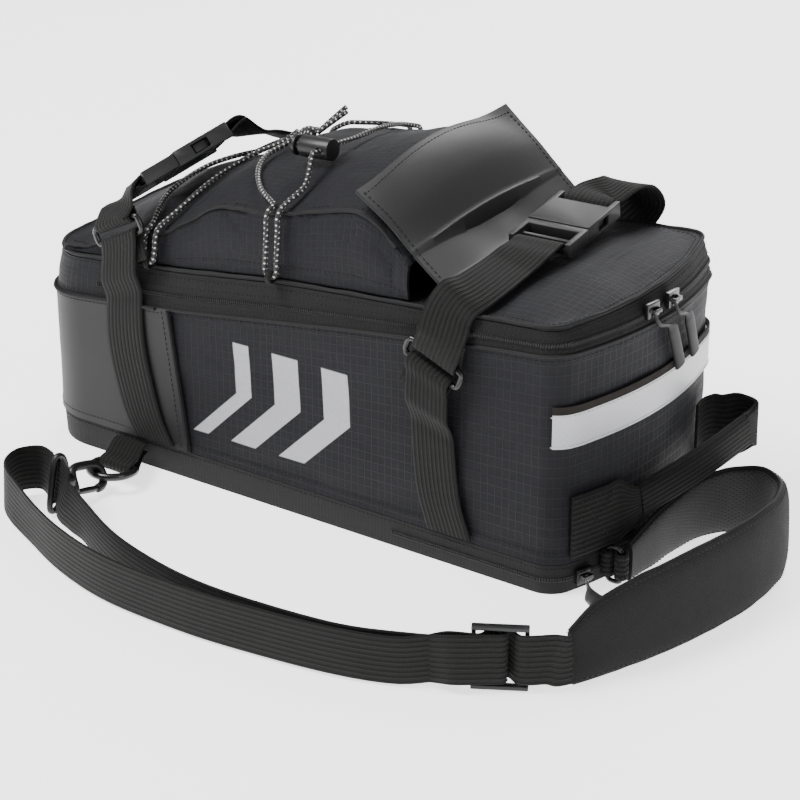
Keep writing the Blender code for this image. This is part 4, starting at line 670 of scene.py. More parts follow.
def lid():
    edge = plan(TAPE_INSET)
    shares = np.array([1, 0.992, 0.982, 0.97, 0.955, 0.935, 0.91, 0.88, 0.84, 0.79, 0.73, 0.66,
                       0.58, 0.5, 0.42, 0.34, 0.26, 0.18, 0.1, 0.03])
    spine = np.clip(edge[:, 0], -HALF_LENGTH + LID_SPINE, HALF_LENGTH - LID_SPINE)
    x = spine + (edge[:, 0] - spine) * shares[:, None]
    y = edge[:, 1] * shares[:, None]
    top = np.stack([x, y, lid_height(x, y)], 2)
    inner = top.copy()
    inner[..., 2] -= CLOTH
    round_edge = np.clip((1 - shares) / 0.03, 0, 1)[:, None]
    pucker = folds(top, 0.016, 9, detail=2) * np.clip(1 - (1 - shares) / 0.12, 0, 1)[:, None]
    soft = folds(top, 0.06, 11) * np.clip((1 - shares) / 0.1, 0, 1)[:, None]
    top[..., 2] -= 0.0006 * (1 - round_edge) ** 2 + pucker * 0.0013 + soft * 0.0018
    us = around(edge)
    return slab("lid_cloth", top, inner, RIPSTOP, us, lengths(top[:, 0]), True, (-1,),
                slot="ripstop", replaced=("lid_panel",), sharp=70)


def top_flat(obj):
    """Give a piece that is seen from above flat coordinates read straight down."""
    mesh = obj.data
    where = np.array([mesh.vertices[loop.vertex_index].co for loop in mesh.loops])
    mesh.uv_layers["flat"].data.foreach_set("uv", where[:, :2].astype(np.float32).ravel())


def tape_run(inset):
    return rear_strip(TAPE_START, inset)


def hinge_run(inset):
    return front_strip(TAPE_START - 0.0003, inset, 10)


made = [leaning_strip("zip_tape_cloth", tape_run, 12, TAPE, "zip_tape", "top_zip_tape", 2)]
made.append(leaning_strip("hinge_cloth", hinge_run, 12, RIPSTOP, "ripstop", "hinge_panel", 4))
made.append(lid())
top_flat(made[-1])
print("upper pieces:", {o.name: len(o.data.polygons) for o in made})

# %% [markdown]
# ## Pocket
# The pocket is a low tent of ripstop sewn on the lid: a gusset on each side and a top panel that
# climbs to its open mouth. A cloth simulation would settle it, but its folds in the photograph are
# known, so they are placed by formula, with noise for the small ones.
# %% Pocket
POCKET_FRONT, POCKET_MOUTH = -0.166, 0.088
POCKET_HEIGHT, POCKET_CROWN, POCKET_SIDE = 0.047, 0.018, 0.006
GUSSET_BULGE = 0.003
# Places along the pocket, and there the height of its crest and of its crown as shares.
POCKET_PLACES = [0, 0.14, 0.21, 0.30, 0.36, 0.46, 0.61, 0.70, 0.78, 0.87, 0.94, 1]
CREST = [0.09, 0.25, 0.39, 0.47, 0.62, 0.85, 0.84, 0.90, 0.98, 1.00, 0.80, 0.47]
CROWN = [0.30, 0.90, 0.90, 1.00, 1.00, 0.85, 0.95, 1.00, 1.00, 0.95, 0.70, 0.45]
POCKET_HALF = HALF_WIDTH - POCKET_SIDE
GUSSET_ROWS, TOP_ROWS, POCKET_STEPS = 12, 48, 96
# Heights of the columns that close the front edge, and how far that adds to the cloth's length.
FRONT_SHARES = [0, 0.35, 0.65, 0.88]
FRONT_LENGTH = 0.009


def curve_at(places, values, at):
    """A smooth curve through values (rows of any shape) at given places, read at other places."""
    places, values = np.asarray(places, float), np.asarray(values, float)
    at = np.clip(at, places[0], places[-1])
    i = np.clip(np.searchsorted(places, at) - 1, 0, len(places) - 2)
    shape = np.shape(at) + (1,) * (values.ndim - 1)
    width = (places[i + 1] - places[i]).reshape(shape)
    t = ((at - places[i]) / (places[i + 1] - places[i])).reshape(shape)
    if len(places) == 2:
        return values[i] * (1 - t) + values[i + 1] * t
    slopes = np.gradient(values, places, axis=0)
    made = (2 * t**3 - 3 * t**2 + 1) * values[i] + (3 * t**2 - 2 * t**3) * values[i + 1]
    return made + ((t**3 - 2 * t**2 + t) * slopes[i] + (t**3 - t**2) * slopes[i + 1]) * width


def pocket_share(x):
    return (np.asarray(x, float) - POCKET_FRONT) / (POCKET_MOUTH - POCKET_FRONT)


def crest_height(x, y):
    rise = POCKET_HEIGHT * curve_at(POCKET_PLACES, CREST, pocket_share(x))
    return seam_height(x, y) + rise


def pocket_top(x, y):
    """Height of the pocket's top panel."""
    across = np.minimum(1, np.abs(y) / POCKET_HALF)
    crown = POCKET_CROWN * curve_at(POCKET_PLACES, CROWN, pocket_share(x))
    return crest_height(x, y) + crown * (1 - across**2)


def pocket_grid(xs, wall=0.0):
    """The pocket's outline across the bag at each x, up one gusset, over the top and down the other."""
    side = POCKET_HALF - wall
    rows = []
    rise = np.linspace(0, 1, GUSSET_ROWS, endpoint=False)
    lift = curve_at(POCKET_PLACES, CREST, pocket_share(xs))

    def gusset(sign):
        foot = lid_height(xs, sign * POCKET_HALF) + SEAT
        crest = crest_height(xs, sign * POCKET_HALF) - wall
        for u in rise:
            y = sign * (side + GUSSET_BULGE * math.sin(math.pi * u) * lift)
            yield np.stack([xs, y, foot + (crest - foot) * u], 1)

    rows += list(gusset(-1))
    for y in side * np.linspace(-1, 1, TOP_ROWS + 1):
        top = pocket_top(xs, y * POCKET_HALF / side) - wall
        rows.append(np.stack([xs, np.full(len(xs), y), top], 1))
    rows += list(gusset(1))[::-1]
    return np.array(rows)


def close_front(grid):
    """Columns that bring the pocket's front edge down to the lid in a small round."""
    first = grid[:, :1]
    columns = []
    for share in FRONT_SHARES:
        column = first.copy()
        column[..., 0] -= 0.0020 * (1 - share**2)
        foot = lid_height(column[..., 0], column[..., 1]) + SEAT
        column[..., 2] = foot + (np.maximum(first[..., 2], foot) - foot) * share
        columns.append(column)
    return np.concatenate(columns + [grid], 1)


def pocket():
    xs = np.linspace(POCKET_FRONT, POCKET_MOUTH, POCKET_STEPS)
    outer = pocket_grid(xs)
    inner = pocket_grid(np.linspace(POCKET_FRONT + CLOTH, POCKET_MOUTH, POCKET_STEPS), CLOTH)
    inner[..., 2] = np.maximum(inner[..., 2], lid_height(inner[..., 0], inner[..., 1]) + SEAT)
    rows = len(outer)
    row = np.arange(rows)
    from_crest = np.minimum(abs(row - GUSSET_ROWS), abs(row - (rows - 1 - GUSSET_ROWS)))
    near_crest = np.exp(-((from_crest / 5.0) ** 2))[:, None]
    ends = fade(POCKET_STEPS, 3)
    feet = fade(rows, 3)[:, None]
    wide = folds(outer, 0.045, 21, (1.4, 1.0, 0.8))
    sharp_folds = 1 - np.abs(folds(outer, 0.030, 23, (0.8, 1.6, 1.2), 2) * 2 - 1)
    deep = wide * 0.0026 + sharp_folds**3 * 0.0022 * (0.35 + near_crest)
    outer = outer - normals(outer) * (deep * ends * feet)[..., None]
    vs = lengths(outer[:, POCKET_STEPS // 2])
    xs = np.concatenate([xs[0] - FRONT_LENGTH + np.array(FRONT_SHARES) * FRONT_LENGTH, xs])
    outer, inner = close_front(outer), close_front(inner)
    return slab("pocket_cloth", outer, inner, RIPSTOP, xs, vs, slot="ripstop",
                replaced=("pocket_shell",), sharp=75)


pocket_piece = pocket()
print("pocket:", len(pocket_piece.data.polygons), "faces")

# %% [markdown]
# ## Flap
# The flap is one stiff sheet of coated cloth, sewn to the lid behind the pocket. It rises over the
# mouth, leans on the crown and dips in two soft dents. It is a plane between its root and its free
# edge, held off the pocket by a smooth maximum, because a plain one would leave a sharp crease.
# %% Flap
FLAP_WALL = 0.0018
FLAP_HALF_SPAN = 0.0745
FLAP_FREE, FLAP_HINGE, FLAP_ROOT = 0.050, 0.108, 0.116
FREE_HEIGHTS = (0.205, 0.2175)
HINGE_HEIGHTS = (0.1620, 0.1690)
# Rows of place across the flap, place along it, half sizes and depth of the soft dents.
FLAP_DENTS = [(0.42, 0.55, 0.14, 0.50, 0.8), (0.62, 0.45, 0.12, 0.45, 1.0)]
FLAP_DENT = 0.005
FLAP_SEAT = 0.0009
FLAP_EASE = 0.0022


def flap_height(x, y):
    """Height of the flap's underside, which rests on the pocket."""
    across = (y + FLAP_HALF_SPAN) / (2 * FLAP_HALF_SPAN)
    along = (x - FLAP_FREE) / (FLAP_HINGE - FLAP_FREE)
    free = FREE_HEIGHTS[0] + (FREE_HEIGHTS[1] - FREE_HEIGHTS[0]) * across
    hinge = HINGE_HEIGHTS[0] + (HINGE_HEIGHTS[1] - HINGE_HEIGHTS[0]) * across
    z = free + (hinge - free) * along
    for row in FLAP_DENTS:
        reach = ((across - row[0]) / row[2]) ** 2 + ((along - row[1]) / row[3]) ** 2
        z = z - FLAP_DENT * row[4] * np.exp(-reach)
    on_pocket = pocket_top(np.minimum(x, POCKET_MOUTH), y)
    rest = np.where(x <= POCKET_MOUTH + CLOTH, on_pocket, lid_height(x, y))
    above = (z - rest - FLAP_SEAT) / FLAP_EASE
    return rest + FLAP_SEAT + FLAP_EASE * np.logaddexp(0, above)


def flap_face(x, y):
    """Height of the flap's outer face."""
    share = np.clip((x - FLAP_HINGE) / (FLAP_ROOT - FLAP_HINGE), 0, 1)
    share = share * share * (3 - 2 * share)
    root = lid_height(FLAP_ROOT, y) + 0.0006
    return flap_height(np.minimum(x, FLAP_HINGE), y) * (1 - share) + root * share + FLAP_WALL


def flap():
    leaning = np.linspace(FLAP_FREE, FLAP_HINGE, 44)
    xs = np.concatenate([leaning, np.linspace(FLAP_HINGE, FLAP_ROOT, 9)[1:]])
    ys = np.linspace(-FLAP_HALF_SPAN, FLAP_HALF_SPAN, 90)
    x, y = np.meshgrid(xs, ys)
    under = np.stack([x, y, flap_face(x, y) - FLAP_WALL], 2)
    top = under + np.array([0, 0, FLAP_WALL])
    made = slab("flap_cloth", top, under, FLAP_CLOTH, xs, ys, slot="coated_cloth",
                replaced=("pocket_flap",), sharp=45)
    bevel = made.modifiers.new("rounded edge", "BEVEL")
    bevel.width = 0.0005
    bevel.segments = 2
    bevel.limit_method = "ANGLE"
    bevel.angle_limit = math.radians(60)
    run = lengths(top[len(ys) // 2])[-1]
    return made


flap_piece = flap()
print("flap:", len(flap_piece.data.polygons), "faces")

# %% [markdown]
# ## Reading a strap back from its solid
# Straps and cords were made by sweeping one outline along a path. The frame keeps their rings of
# points, so a finer strap can follow exactly the same way. The rings are found by walking the mesh
# from one flat end to the other; each step of the walk is the next ring.
# %% Rings of a swept solid


def flat_faces(mesh):
    """The points round each flat face, smallest face first."""
    left, found = set(mesh.faces), []
    while left:
        first = left.pop()
        region, todo = [first], [first]
        while todo:
            for edge in todo.pop().edges:
                for face in edge.link_faces:
                    if face in left and face.normal.dot(first.normal) > 0.99999:
                        left.discard(face)
                        region.append(face)
                        todo.append(face)
        found.append((sum(f.calc_area() for f in region), {v for f in region for v in f.verts}))
    return [points for _, points in sorted(found, key=lambda row: row[0])]


def walk(start):
    """Sets of points, each one step further from the start than the one before."""
    levels, seen = [start], set(start)
    while True:
        ahead = {e.other_vert(v) for v in levels[-1] for e in v.link_edges} - seen
        if not ahead:
            return levels
        seen |= ahead
        levels.append(ahead)


def ring_order(level):
    """The points of a ring in turn, without the edges that cross a flat end."""
    first = min(level, key=lambda v: v.index)
    ring, here = [first], first
    while len(ring) < len(level):
        for edge in here.link_edges:
            other = edge.other_vert(here)
            outside = any(not set(f.verts) <= level for f in edge.link_faces)
            if other in level and other not in ring and outside:
                ring.append(other)
                here = other
                break
        else:
            raise ValueError("broken ring")
    return np.array([v.co[:] for v in ring])


def sections(node):
    """All rings of a swept solid, turned so that equal places follow each other."""
    mesh = bmesh.new()
    mesh.from_mesh(frame["nodes"][node].data)
    bmesh.ops.remove_doubles(mesh, verts=mesh.verts, dist=1e-6)
    mesh.verts.index_update()
    for start in flat_faces(mesh):
        levels = walk(start)
        if len(levels) > 1 and all(len(level) == len(start) for level in levels):
            break
    else:
        raise ValueError(node + " is not a sweep")
    rings = [ring_order(levels[0])]
    for level in levels[1:]:
        ring = ring_order(level)
        turned = [np.roll(r, k, 0) for r in (ring, ring[::-1]) for k in range(len(ring))]
        rings.append(min(turned, key=lambda r: np.linalg.norm(r - rings[-1], axis=1).sum()))
    mesh.free()
    return np.array(rings)


def tube(name, rings, finish, us, vs, **more):
    """A closed skin over rings of points (rings, points), with flat ends."""
    count, around_count = rings.shape[:2]
    faces, uvs = [], []
    for i in range(count - 1):
        for k in range(around_count):
            n = (k + 1) % around_count
            a, b = i * around_count, (i + 1) * around_count
            faces.append((a + k, a + n, b + n, b + k))
            uvs += [(us[k], vs[i]), (us[k + 1], vs[i]), (us[k + 1], vs[i + 1]), (us[k], vs[i + 1])]
    for i, order in ((0, -1), (count - 1, 1)):
        ring = list(range(around_count))[::order]
        faces.append([i * around_count + k for k in ring])
        uvs += [(us[k], vs[i]) for k in ring]
    return piece(name, rings.reshape(-1, 3), faces, finish, uvs, **more)


def respaced(rings, step, extra=1):
    """Rings read at even steps along their middle line, and the distances there."""
    run = lengths(rings.mean(1))
    at = np.linspace(0, run[-1], max(4, int(run[-1] / step) + extra))
    return curve_at(run, rings, at), at


def eased(rings, rounds):
    """Rings whose corners are cut off a few times, which rounds their outline."""
    for _ in range(rounds):
        ahead = np.roll(rings, -1, 1)
        pairs = np.stack([rings * 0.75 + ahead * 0.25, rings * 0.25 + ahead * 0.75], 2)
        rings = pairs.reshape(len(rings), -1, 3)
    return rings


samples = ("front_strap_near_lower", "shoulder_webbing")
print("webbing rings:", {node: sections(node).shape[:2] for node in samples})

# %% [markdown]
# ## Webbing
# Nylon webbing is flat and woven, with rounded edges and no stretch. Each strap keeps its solid's path
# and width, read at steps of about a millimetre, and gets a rounded outline instead of a square one.
# A curve object with a bevel would twist at the tight turns, so the frame's own directions are kept.
# %% Straps of webbing
WEB_STEP = 0.0013
STRAPS = {}


def tab_rings():
    """The front ring's tab: cloth that leaves the base seam, goes round the bar and comes back."""
    wall_y = -HALF_WIDTH - 0.0014
    ring_low, ring_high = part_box("front_ring")
    tab_low, tab_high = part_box("front_ring_tab")
    bar_y = tab_low.y + 0.0038
    bar_z = (ring_low.z + ring_high.z) / 2
    radius = 0.0035
    turn = np.linspace(0, math.pi, 9)
    way = [(0, wall_y, bar_z + radius), (0.1, wall_y - 0.004, bar_z + radius),
           (0.5, (wall_y + bar_y) / 2, bar_z + radius)]
    way += [(1, bar_y - radius * math.sin(a), bar_z + radius * math.cos(a)) for a in turn]
    way += [(0.5, (wall_y + bar_y) / 2, bar_z - radius + 0.0012),
            (0.1, wall_y - 0.004, bar_z - radius + 0.0022), (0, wall_y, bar_z - radius + 0.0022)]
    way = np.array(way)
    start, stop = (-0.1146, -0.1030)
    center = np.stack([start + (stop - start) * way[:, 0], way[:, 1], way[:, 2]], 1)
    across = np.tile([0.0125, 0.0, 0.0], (len(way), 1))
    ahead = np.gradient(center, axis=0)
    out = np.cross(across, ahead)
    out *= 0.0008 / np.linalg.norm(out, axis=1, keepdims=True)
    return np.stack([center - across - out, center + across - out, center + across + out,
                     center - across + out], 1)


def strap_frames(node):
    """Centres, half width vectors and half thickness vectors along a strap, and the distances."""
    rings = tab_rings() if node == "front_ring_tab" else sections(node)
    if np.linalg.norm(rings[:, 1] - rings[:, 0]) < np.linalg.norm(rings[:, 3] - rings[:, 0]):
        rings = np.roll(rings, -1, 1)
    center = rings.mean(1)
    half_width = ((rings[:, 1] - rings[:, 0]) + (rings[:, 2] - rings[:, 3])) / 4
    half_thick = ((rings[:, 3] - rings[:, 0]) + (rings[:, 2] - rings[:, 1])) / 4
    run = lengths(center)
    at = np.linspace(0, run[-1], max(3, int(run[-1] / WEB_STEP) + 1))
    return [curve_at(run, v, at) for v in (center, half_width, half_thick)] + [at]


def web_outline(ratio, points=5):
    """A flat outline with round edges; ratio is its thickness over its width."""
    turn = np.linspace(-math.pi / 2, math.pi / 2, points)
    right = np.stack([1 - ratio + ratio * np.cos(turn), np.sin(turn)], 1)
    flat = np.linspace(1 - ratio, -1 + ratio, 7)[1:-1]
    top = np.stack([flat, np.ones(5)], 1)
    return np.concatenate([right, top, -right, -top])


def web(node, seed):
    """A strap of webbing in the place of its solid."""
    center, wide, thick, at = strap_frames(node)
    half = np.linalg.norm(wide, axis=1).mean()
    ratio = np.linalg.norm(thick, axis=1).mean() / half
    outline = web_outline(ratio)
    wave = np.array([noise.noise(Vector((a / 0.07, seed * 3.1, 0.5))) for a in at])[:, None]
    center = center + wide / half * wave * 0.0004
    across, through = outline[None, :, :1], outline[None, :, 1:]
    rings = center[:, None] + wide[:, None] * across + thick[:, None] * through
    us = around(outline * [half, half * ratio])
    tube(node + "_web", rings, WEBBING, us, at, slot="webbing", replaced=(node,))
    STRAPS[node] = (center, wide, thick, at)


WEBS = ["front_strap_near_lower", "front_strap_near_upper", "front_strap_far", "rear_strap_near_lower",
        "rear_strap_near_upper", "rear_strap_far", "bungee_anchor_near_front",
        "bungee_anchor_near_middle", "bungee_anchor_far_middle", "bungee_anchor_far_front",
        "handle_near", "handle_far", "front_ring_tab", "shoulder_webbing", "rear_pad_tape",
        "rear_ring_tab"]
for index, node in enumerate(WEBS):
    web(node, index)
print("straps:", {n: round(float(STRAPS[n][3][-1]), 3) for n in WEBS})

# %% [markdown]
# ## Bungee, cords and pulls
# The bungee is rubber in a braided sleeve: black, with white flecks that run round it in steep rows.
# Its path is kept from the solid. The flecks are drawn by two crossing waves of the cord's own
# coordinates, round it and along it, since real braid repeats in just this way.
# %% Cord finishes


def bungee_finish():
    finish = Finish("bungee", (0.009, 0.009, 0.009), 0.6, sheen_weight=0.05)
    (u, v, _), vector = finish.flat()
    turn = v + u * 0.42
    row = v - u * 0.85
    fleck = turn.wave(0.0034).step(0.70, 0.80) * row.wave(0.0031).step(0.52, 0.66)
    braid = (v + u * 0.9).wave(0.0011) * (v - u * 0.9).wave(0.0011)
    finish.put("Base Color", finish.mix(fleck, (0.009, 0.009, 0.009, 1), (0.62, 0.62, 0.60, 1)))
    finish.put("Roughness", 0.5 + finish.noise(vector, 0.001, 2) * 0.2)
    finish.bump(braid + fleck * 0.5, 0.00018)
    return finish.material


def rubber_finish(name="rubber", color=(0.007, 0.007, 0.007), rough=0.5):
    finish = Finish(name, color, rough, specular_ior_level=0.25)
    _, vector = finish.place()
    grain = finish.noise(vector, 0.0006, 3)
    slow = finish.noise(vector, 0.012, 3)
    finish.put("Roughness", rough - 0.04 + slow * 0.1)
    finish.bump(grain + slow, 0.00003)
    return finish.material


def metal_finish():
    """Light grey die cast metal with a brushed, slightly worn face."""
    finish = Finish("pull_metal", (0.46, 0.46, 0.47), 0.34, metallic=1.0)
    _, vector = finish.place()
    fine = finish.noise(vector, 0.0005, 3)
    finish.put("Roughness", 0.28 + finish.noise(vector, 0.006, 3) * 0.18)
    finish.bump(fine, 0.00002)
    return finish.material


BUNGEE = bungee_finish()
RUBBER = rubber_finish()
METAL = metal_finish()
print("finishes so far:", len(bpy.data.materials))

# %% [markdown]
# ## Cords and pulls along their solids
# A cord keeps its solid's middle line and gets a rounder, finer skin whose side direction is carried
# on from ring to ring, so that the flecks run round it without a jump. The knot and the pulls are
# moulded or tied to their own outline, so their rings are only read closer together and eased.
# %% Cords along the rings of their solids
CORD_SIDES = 10
CORD_STEP = 0.0011


def cord_skin(node, finish, slot):
    """A round cord whose middle line and thickness come from the solid's rings."""
    rings = sections(node)
    center = rings.mean(1)
    size = np.linalg.norm(rings - center[:, None], axis=2).mean(1)
    run = lengths(center)
    at = np.linspace(0, run[-1], max(3, int(run[-1] / CORD_STEP) + 1))
    center, size = curve_at(run, center, at), curve_at(run, size, at)
    ahead = np.gradient(center, axis=0)
    ahead /= np.linalg.norm(ahead, axis=1, keepdims=True)
    side = rings[0, 0] - rings[0].mean(0)
    turn = np.linspace(0, 2 * math.pi, CORD_SIDES, endpoint=False)
    made = []
    for c, way, r in zip(center, ahead, size):
        side = side - way * side.dot(way)
        side /= np.linalg.norm(side)
        other = np.cross(way, side)
        made.append(c + r * (np.cos(turn)[:, None] * side + np.sin(turn)[:, None] * other))
    us = np.linspace(0, 2 * math.pi * size.mean(), CORD_SIDES + 1)
    return tube(node + "_cord", np.array(made), finish, us, at, slot=slot, replaced=(node,))


def smooth_sweep(node, finish, slot, step, rounds):
    """A finer skin over any sweep: its rings are read closer together and their corners eased."""
    rings, at = respaced(sections(node), step)
    rings = eased(rings, rounds)
    us = around(rings[len(rings) // 2])
    return tube(node + "_skin", rings, finish, us, at, slot=slot, replaced=(node,), sharp=60)


for node in ("bungee_front", "bungee_rear", "bungee_end_1", "bungee_end_2"):
    cord_skin(node, BUNGEE, "bungee")
smooth_sweep("bungee_knot", BUNGEE, "bungee", 0.0008, 1)
smooth_sweep("rear_zip_pull", RUBBER, "pull_rubber", 0.0008, 2)
smooth_sweep("lid_zip_pull", RUBBER, "pull_rubber", 0.0008, 2)
smooth_sweep("base_zip_pull", METAL, "pull_metal", 0.0008, 2)

# %% [markdown]
# ## Moulded parts
# Buckles, slide rings, zip sliders and the snap hook are moulded nylon or painted zinc. Their solids
# have the right size but hard edges. Round wires are subdivided and pushed back out to their real
# thickness, and flat parts get a rounded edge from a Bevel modifier, which catches a thin highlight.
# %% Moulded finishes


def plastic_finish(name, color, rough, texture, coat=0.0):
    finish = Finish(name, color, rough, specular_ior_level=0.4, coat_weight=coat, coat_roughness=0.2)
    _, vector = finish.place()
    grain = finish.noise(vector, 0.00045, 2)
    slow = finish.noise(vector, 0.009, 3)
    finish.put("Base Color", finish.mix(slow, shade(color, 0.85), shade(color, 1.2)))
    finish.put("Roughness", rough - 0.05 + slow * 0.12)
    finish.bump(grain + slow * 0.6, texture)
    return finish.material


PLASTIC = plastic_finish("moulded_plastic", (0.009, 0.009, 0.010), 0.38, 0.00003)
SATIN = plastic_finish("satin_plastic", (0.012, 0.012, 0.013), 0.46, 0.00004)
GLOSS = plastic_finish("gloss_plastic", (0.007, 0.007, 0.007), 0.26, 0.00001, 0.15)
print("finishes so far:", len(bpy.data.materials))

# %% [markdown]
# ## Round wires and bevelled mouldings
# The rings and the hook are bent wire, round all along, so their coarse quads are subdivided. The
# buckles, sliders and cord lock come out of a mould with small radii on every edge, so they keep
# their flat faces. Both start from the solid's own mesh, which keeps the openings where they are.
# %% Round wires and bevelled mouldings
WIRE_LEVELS = 2
WIRE_PUSH = 0.16


def welded(node, name, finish, wire=False):
    """A solid's mesh with joined points, its triangles merged to quads or to whole flat faces."""
    mesh = bmesh.new()
    mesh.from_mesh(frame["nodes"][node].data)
    bmesh.ops.remove_doubles(mesh, verts=mesh.verts, dist=1e-6)
    if wire:
        bmesh.ops.join_triangles(mesh, faces=mesh.faces, angle_face_threshold=math.radians(45),
                                 angle_shape_threshold=math.radians(60))
    else:
        bmesh.ops.dissolve_limit(mesh, angle_limit=math.radians(1), verts=mesh.verts,
                                 edges=mesh.edges)
    made = bpy.data.meshes.new(name)
    mesh.to_mesh(made)
    mesh.free()
    made.materials.clear()
    made.materials.append(finish)
    obj = bpy.data.objects.new(name, made)
    bpy.context.scene.collection.objects.link(obj)
    return obj


def apply_modifiers(obj):
    """Keep the evaluated mesh and drop the modifiers."""
    bpy.context.view_layer.update()
    ready = obj.evaluated_get(bpy.context.evaluated_depsgraph_get())
    mesh = bpy.data.meshes.new_from_object(ready)
    obj.modifiers.clear()
    obj.data = mesh
    return obj


def moulding(node, finish, width, body="bag"):
    """A solid with rounded edges and shading that stays flat on its faces."""
    obj = welded(node, node + "_moulded", finish)
    bevel = obj.modifiers.new("edges", "BEVEL")
    bevel.width = width
    bevel.segments = 3
    bevel.limit_method = "ANGLE"
    bevel.angle_limit = math.radians(25)
    apply_modifiers(obj)
    obj.data.shade_smooth()
    obj.data.set_sharp_from_angle(angle=math.radians(42))
    return settle(obj, body, "plastic", (node,))


def round_wire(node, finish, radius, body="bag"):
    """A bent wire, subdivided, and pushed out by what the subdivision took off its thickness."""
    obj = welded(node, node + "_wire", finish, True)
    smooth = obj.modifiers.new("round", "SUBSURF")
    smooth.levels = WIRE_LEVELS
    smooth.render_levels = WIRE_LEVELS
    apply_modifiers(obj)
    shift = [v.co + v.normal * radius * WIRE_PUSH for v in obj.data.vertices]
    for v, co in zip(obj.data.vertices, shift):
        v.co = co
    obj.data.shade_smooth()
    return settle(obj, body, "plastic", (node,))


for node in ("front_slide_ring", "rear_slide_ring"):
    round_wire(node, GLOSS, 0.0018)
round_wire("rear_ring", GLOSS, 0.0014)
round_wire("front_ring", GLOSS, 0.0022)
round_wire("front_hook_body", PLASTIC, 0.0026)
round_wire("front_hook_eye", PLASTIC, 0.0020)
round_wire("front_hook_gate", GLOSS, 0.0016, "hook_gate")
for node in ("front_buckle_plug", "front_buckle_socket", "rear_buckle_plug", "rear_buckle_socket"):
    moulding(node, SATIN, 0.0007)
for node in ("rear_zip_slider", "lid_zip_slider", "base_zip_slider"):
    moulding(node, GLOSS, 0.0009)
moulding("shoulder_slider", PLASTIC, 0.0008)
moulding("cord_lock_barrel", PLASTIC, 0.0006)
moulding("cord_lock_plunger", PLASTIC, 0.0004, "lock_plunger")

# %% [markdown]
# ## Band, handle grip and shoulder pad
# The reflective band is a silver tape between two stitched borders. The grip is webbing folded to a
# tube. The pad is foam between a smooth outer cloth and black spacer mesh, with a bound edge.
# %% Band and pad finishes


def band_finish():
    """Glass bead tape: light grey, a little metallic, with fine grain and a faint diamond print."""
    finish = Finish("reflective", (0.42, 0.42, 0.44), 0.36, metallic=0.5)
    (u, v, _), vector = finish.flat()
    print_lines = (u + v).wave(0.004) * (u - v).wave(0.004)
    grain = finish.noise(vector, 0.0004, 2)
    slow = finish.noise(vector, 0.03, 3)
    tone = finish.mix(slow, (0.38, 0.38, 0.40, 1), (0.47, 0.47, 0.49, 1))
    finish.put("Base Color", finish.mix(print_lines * 0.25, tone, (0.3, 0.3, 0.32, 1)))
    finish.put("Roughness", 0.30 + grain * 0.15)
    finish.bump(grain + slow * 4.0, 0.00004)
    return finish.material


def mesh_finish():
    """Spacer mesh: small open cells in staggered rows."""
    finish = Finish("pad_mesh", (0.010, 0.010, 0.010), 0.7, sheen_weight=0.08)
    (u, v, _), vector = finish.flat()
    cells = (u + v * 0.58).wave(0.0030) * (u - v * 0.58).wave(0.0030)
    hole = cells.step(0.35, 0.6)
    # Painted shade: the open cells are made darker than the mesh round them.
    finish.put("Base Color", finish.mix(hole, (0.022, 0.022, 0.022, 1), (0.002, 0.002, 0.002, 1)))
    finish.put("Roughness", 0.6 + finish.noise(vector, 0.002, 2) * 0.2)
    finish.bump(1 - hole + finish.noise(vector, 0.0006, 2) * 0.3, 0.0006)
    return finish.material


BAND = band_finish()
MESH = mesh_finish()
# Binding, ribbon and pad cloth carry the webbing's painted shade in the grooves and painted highlights
# on the ribs.
BINDING = webbing_finish("binding", (0.011, 0.011, 0.011), 0.0021)
RIBBON = webbing_finish("ribbon", (0.020, 0.015, 0.012), 0.0021)
PAD_CLOTH = webbing_finish("pad_cloth", (0.0075, 0.0075, 0.0080), 0.0009)
PAD_LINES = []


def pad():
    """The pad as a soft lens: its rings are read finely, and its faces are told apart by side."""
    rings, at = respaced(sections("shoulder_pad"), 0.002, 0)
    rings = eased(rings, 3)
    center = rings.mean(1, keepdims=True)
    out = rings - center
    soft = folds(rings, 0.02, 31, (1, 1, 1), 2)
    rings = center + out * (1 - 0.05 * soft * fade(len(at), 6)[:, None])[..., None]
    us = around(rings[len(rings) // 2])
    obj = tube("shoulder_pad_body", rings, PAD_CLOTH, us, at, slot="pad_mesh",
               replaced=("shoulder_pad",), sharp=75)
    obj.data.materials.append(MESH)
    obj.data.materials.append(BINDING)
    wide = np.argmax(np.linalg.norm(out[len(out) // 2], axis=1))
    count = rings.shape[1]
    middle = rings.mean(1)
    hollow = middle.mean(0)
    for k in (wide, wide + count // 2):
        for shift in (-8, 0, 8):
            index = (k + shift) % count
            way = rings[:, index] - middle
            way = way / np.linalg.norm(way, axis=1, keepdims=True)
            PAD_LINES.append((shift, rings[:, index], way))
    for face in obj.data.polygons[:(len(at) - 1) * count]:
        ring, k = divmod(face.index, count)
        off = min((k - wide) % count, (wide - k) % count)
        off = min(off, abs(count // 2 - off))
        if off <= 5:
            face.material_index = 2
        elif np.dot(face.normal, Vector(hollow - middle[ring])) > 0:
            face.material_index = 1
    return obj


BAND_LINES = {}


